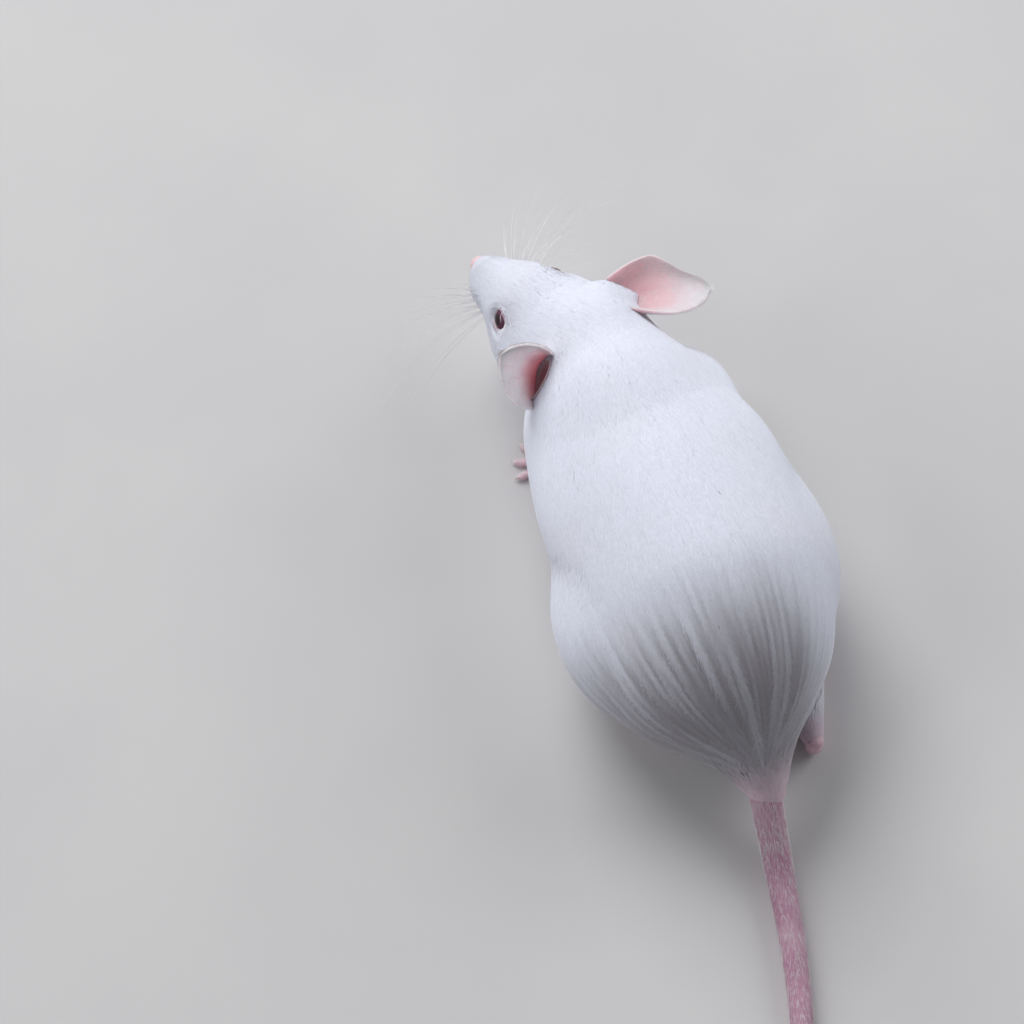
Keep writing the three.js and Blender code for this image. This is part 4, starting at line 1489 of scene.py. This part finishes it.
def ear_material():
    """Thin pale pink skin with a net of fine vessels, redder low in its bowl and darker red down its
    hollow: partly the skin's own redness, partly painted shade.
    """
    m = Nodes("Skin_ear")
    vessels = m.ramp(m.cells(0.42, "DISTANCE_TO_EDGE"), 0.0, 0.09, 1.0, 0.0)
    color = m.mottled(0.5, 4.0, (0.88, 0.77, 0.81), (0.9, 0.82, 0.86))
    color = m.blend(m.times(vessels, 0.2), color, (0.7, 0.4, 0.45))
    # Redder low in the bowl: partly the skin's own redness, partly painted shade.
    color = m.blend(m.attribute("blush_and_shade"), color, (0.66, 0.4, 0.43))
    # darker red down the hollow, partly painted shade
    color = m.blend(m.attribute("hollow_red_and_shade"), color, HOLLOW_RED_AND_SHADE)
    m.bump(m.noise(5.0), 0.05, 0.4)
    return m.finish(color, m.uneven(2.0, 0.45, 0.6), Specular_IOR_Level=0.35, **flesh_glow(0.95, 0.002))


def foot_material():
    """Pink, finely creased skin, redder in the creases."""
    m = Nodes("Skin_foot")
    creases = m.cells(2.6)
    color = m.blend(m.ramp(creases, 0.05, 0.55), (0.62, 0.35, 0.42), (0.76, 0.5, 0.57))
    color = m.blend(m.ramp(m.noise(0.35), 0.35, 0.7), color, (0.8, 0.58, 0.64))
    m.bump(m.plus(creases, m.times(m.noise(7.0), 0.4)), 0.07, 0.5)
    return m.finish(color, m.uneven(2.0, 0.4, 0.55), Specular_IOR_Level=0.4, **flesh_glow(0.25, 0.001))


def tail_material():
    """Lilac pink scaly skin, darker between the rings."""
    m = Nodes("Skin_tail")
    scales = m.cells(2.4)
    color = m.blend(m.ramp(scales, 0.1, 0.6), (0.46, 0.265, 0.34), (0.37, 0.18, 0.27))
    color = m.blend(m.ramp(m.noise(0.2), 0.35, 0.7), color, (0.5, 0.3, 0.38))
    m.bump(m.plus(m.times(scales, -1.0), m.noise(8.0)), 0.06, 0.5)
    return m.finish(color, m.uneven(2.0, 0.45, 0.6), Specular_IOR_Level=0.4, **flesh_glow(0.15, 0.001))


def eye_material():
    """Dark ruby, with a blacker pupil, under a wet cornea."""
    m = Nodes("Eye_ruby")
    facing = m.attribute("facing")
    iris = m.blend(m.ramp(facing, 0.35, 0.8), (0.06, 0.014, 0.036), (0.11, 0.024, 0.06))
    rays = m.ramp(m.noise(3.0, 4.0), 0.35, 0.7, 0.75, 1.15)
    iris = m.blend(1.0, iris, m.grey(rays), "MULTIPLY")
    color = m.blend(m.ramp(facing, 0.86, 0.9), iris, (0.015, 0.003, 0.007))
    return m.finish(color, 0.08, Specular_IOR_Level=0.4, IOR=1.38)


def nose_material():
    """Damp pink skin with fine pores, with painted shade dark in the nostrils."""
    m = Nodes("Nose_pink")
    pores = m.cells(3.6)
    color = m.blend(m.ramp(pores, 0.05, 0.5), (0.7, 0.47, 0.49), (0.76, 0.55, 0.57))
    # Painted shade: the nostrils' dents darkened.
    color = m.blend(m.ramp(m.attribute("hollow"), 0.25, 0.9), color, (0.16, 0.04, 0.045))
    m.bump(m.plus(pores, m.noise(9.0)), 0.05, 0.5)
    return m.finish(color, m.uneven(3.0, 0.3, 0.45), Specular_IOR_Level=0.5, **flesh_glow(0.25, 0.0008))


def claw_material():
    m = Nodes("Claw_ivory")
    color = m.mottled(1.5, 3.0, (0.72, 0.56, 0.5), (0.8, 0.7, 0.64))
    m.bump(m.noise(6.0, 2.0), 0.02, 0.3)
    return m.finish(color, m.uneven(4.0, 0.28, 0.4), Specular_IOR_Level=0.5)


def whisker_material():
    m = Nodes("Whisker_white")
    color = m.mottled(0.4, 3.0, (0.88, 0.88, 0.89), (0.8, 0.78, 0.8))
    return m.finish(color, m.uneven(3.0, 0.35, 0.5), Specular_IOR_Level=0.4)


def floor_material():
    m = Nodes("Floor_pale")
    color = m.mottled(0.02, 3.0, (0.62, 0.61, 0.61), (0.65, 0.64, 0.635))
    m.bump(m.noise(0.6), 0.03, 0.15)
    return m.finish(color, m.uneven(0.05, 0.75, 0.85), Specular_IOR_Level=0.2)


# ---- Camera, floor, light ------------------------------------------------------------------------
CAMERA = {
    "azimuth": 159.5,
    "elevation": 65,
    "distance": 300,
    "lens": 82.27,
    "over": (0, 0, 14),  # the fitted view's middle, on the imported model's own axis
    "aims": (-17.7, -4.9),  # and how far right and up of it the camera points
}


def make_camera():
    """From above and behind, a little to the mouse's left."""
    a, e = math.radians(CAMERA["azimuth"]), math.radians(CAMERA["elevation"])
    back = np.array([math.sin(a) * math.cos(e), -math.cos(a) * math.cos(e), math.sin(e)])
    right = unit(np.cross(-back, [0, 0, 1]))
    up = np.cross(right, -back)
    target = np.array(CAMERA["over"], float)
    eye = target + back * CAMERA["distance"]
    aim = target + right * CAMERA["aims"][0] + up * CAMERA["aims"][1]
    ahead = unit(aim - eye)
    right = unit(right - ahead * (right @ ahead))
    up = np.cross(right, ahead)
    data = bpy.data.cameras.new("camera")
    data.lens = CAMERA["lens"]
    data.sensor_width = 36
    data.clip_start = 0.005
    camera = in_scene("camera", data)
    turn = Matrix([right, up, -ahead]).transposed().to_4x4()
    camera.matrix_world = Matrix.Translation(Vector((eye + SHIFT) * MM)) @ turn
    bpy.context.scene.camera = camera


def make_floor():
    """A plain floor under the mouse, wider than the camera sees."""
    line = np.linspace(-FLOOR_HALF, FLOOR_HALF, 13)
    x, y = np.meshgrid(line, line, indexing="ij")
    points = np.stack([x.ravel(), y.ravel(), np.zeros(x.size)], 1) - SHIFT * (1, 1, 0)
    floor = make_mesh("floor", points, grid_faces(len(line), len(line)))
    floor.parent = None
    return floor


LIT_POINT = (0, -0.03, 0.01)
LIGHTS = {  # place and size in metres, power in watts, colour
    "key": ((0.1, -0.95, 0.85), 0.9, 12.0, (0.985, 0.99, 1)),
    "fill_left": ((0.95, -0.2, 0.6), 0.8, 3.4, (0.95, 0.975, 1)),
    "fill_right": ((-0.95, -0.2, 0.6), 0.8, 4.5, (0.95, 0.975, 1)),
}
WORLD_COLOR = (0.93, 0.95, 1, 1)
WORLD_STRENGTH = 0.17


def area_light(name, place, size, power, color):
    data = bpy.data.lights.new(name, "AREA")
    data.shape = "DISK"
    data.size = size
    data.energy = power
    data.color = color
    lamp = in_scene(name, data)
    lamp.location = place
    lamp.rotation_mode = "QUATERNION"
    lamp.rotation_quaternion = (Vector(LIT_POINT) - Vector(place)).to_track_quat("-Z", "Y")


def make_light():
    for name, lamp in LIGHTS.items():
        area_light(name, *lamp)
    bpy.context.scene.world = make_world()


def make_world():
    """Plain pale light, and white where the camera or a reflection looks past the floor."""
    world = bpy.data.worlds.new("studio")
    world.use_nodes = True
    tree = world.node_tree
    light = tree.nodes["Background"]
    light.inputs["Color"].default_value = WORLD_COLOR
    light.inputs["Strength"].default_value = WORLD_STRENGTH
    white = add_node(tree, "ShaderNodeBackground", {"Color": (1, 1, 1, 1)})
    path = add_node(tree, "ShaderNodeLightPath")
    seen = path.outputs["Is Camera Ray"]
    for kind in ("Is Glossy Ray", "Is Transmission Ray"):
        either = add_node(tree, "ShaderNodeMath", operation="MAXIMUM")
        tree.links.new(seen, either.inputs[0])
        tree.links.new(path.outputs[kind], either.inputs[1])
        seen = either.outputs[0]
    choose = add_node(tree, "ShaderNodeMixShader")
    for n, source in enumerate((seen, light.outputs[0], white.outputs[0])):
        tree.links.new(source, choose.inputs[n])
    tree.links.new(choose.outputs[0], tree.nodes["World Output"].inputs["Surface"])
    return world


# ---- The scene -----------------------------------------------------------------------------------
PAIRED_NODES = "haunch", "foreleg", "ear", "forefoot", "hindfoot"
FLESH_NODES = (
    ["head", "neck", "chest", "belly", "rump"]
    + [f"{part}_{side}" for part in PAIRED_NODES for side in SIDES]
    + [f"tail_{n}" for n in range(1, 5)]
)


def give(piece, *materials):
    for material in materials:
        piece.data.materials.append(material)


def main():
    make_camera()
    skin, body = make_skin()
    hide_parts(*FLESH_NODES)
    give(skin, under_coat_material(), ear_material(), foot_material(), tail_material())

    fur = fur_material("Fur_white", *FUR_COLORS)
    for piece in make_coat(body):
        give(piece, fur)
    down = fur_material("Down_white", *DOWN_COLORS)
    for side in SIDES:
        give(ear_down(side), down)
    for name in FEET:
        give(foot_hair(name), down)
    give(tail_hair(), down)

    eyes = eye_material()
    for side in SIDES:
        give(make_eye(side), eyes)
    give(make_nose(), nose_material())
    claws = make_mesh("claws", *make_claws())
    give(claws, claw_material())
    give(make_whiskers(), whisker_material())

    give(make_floor(), floor_material())
    make_light()


main()
bpy.context.scene.view_settings.view_transform = "Standard"
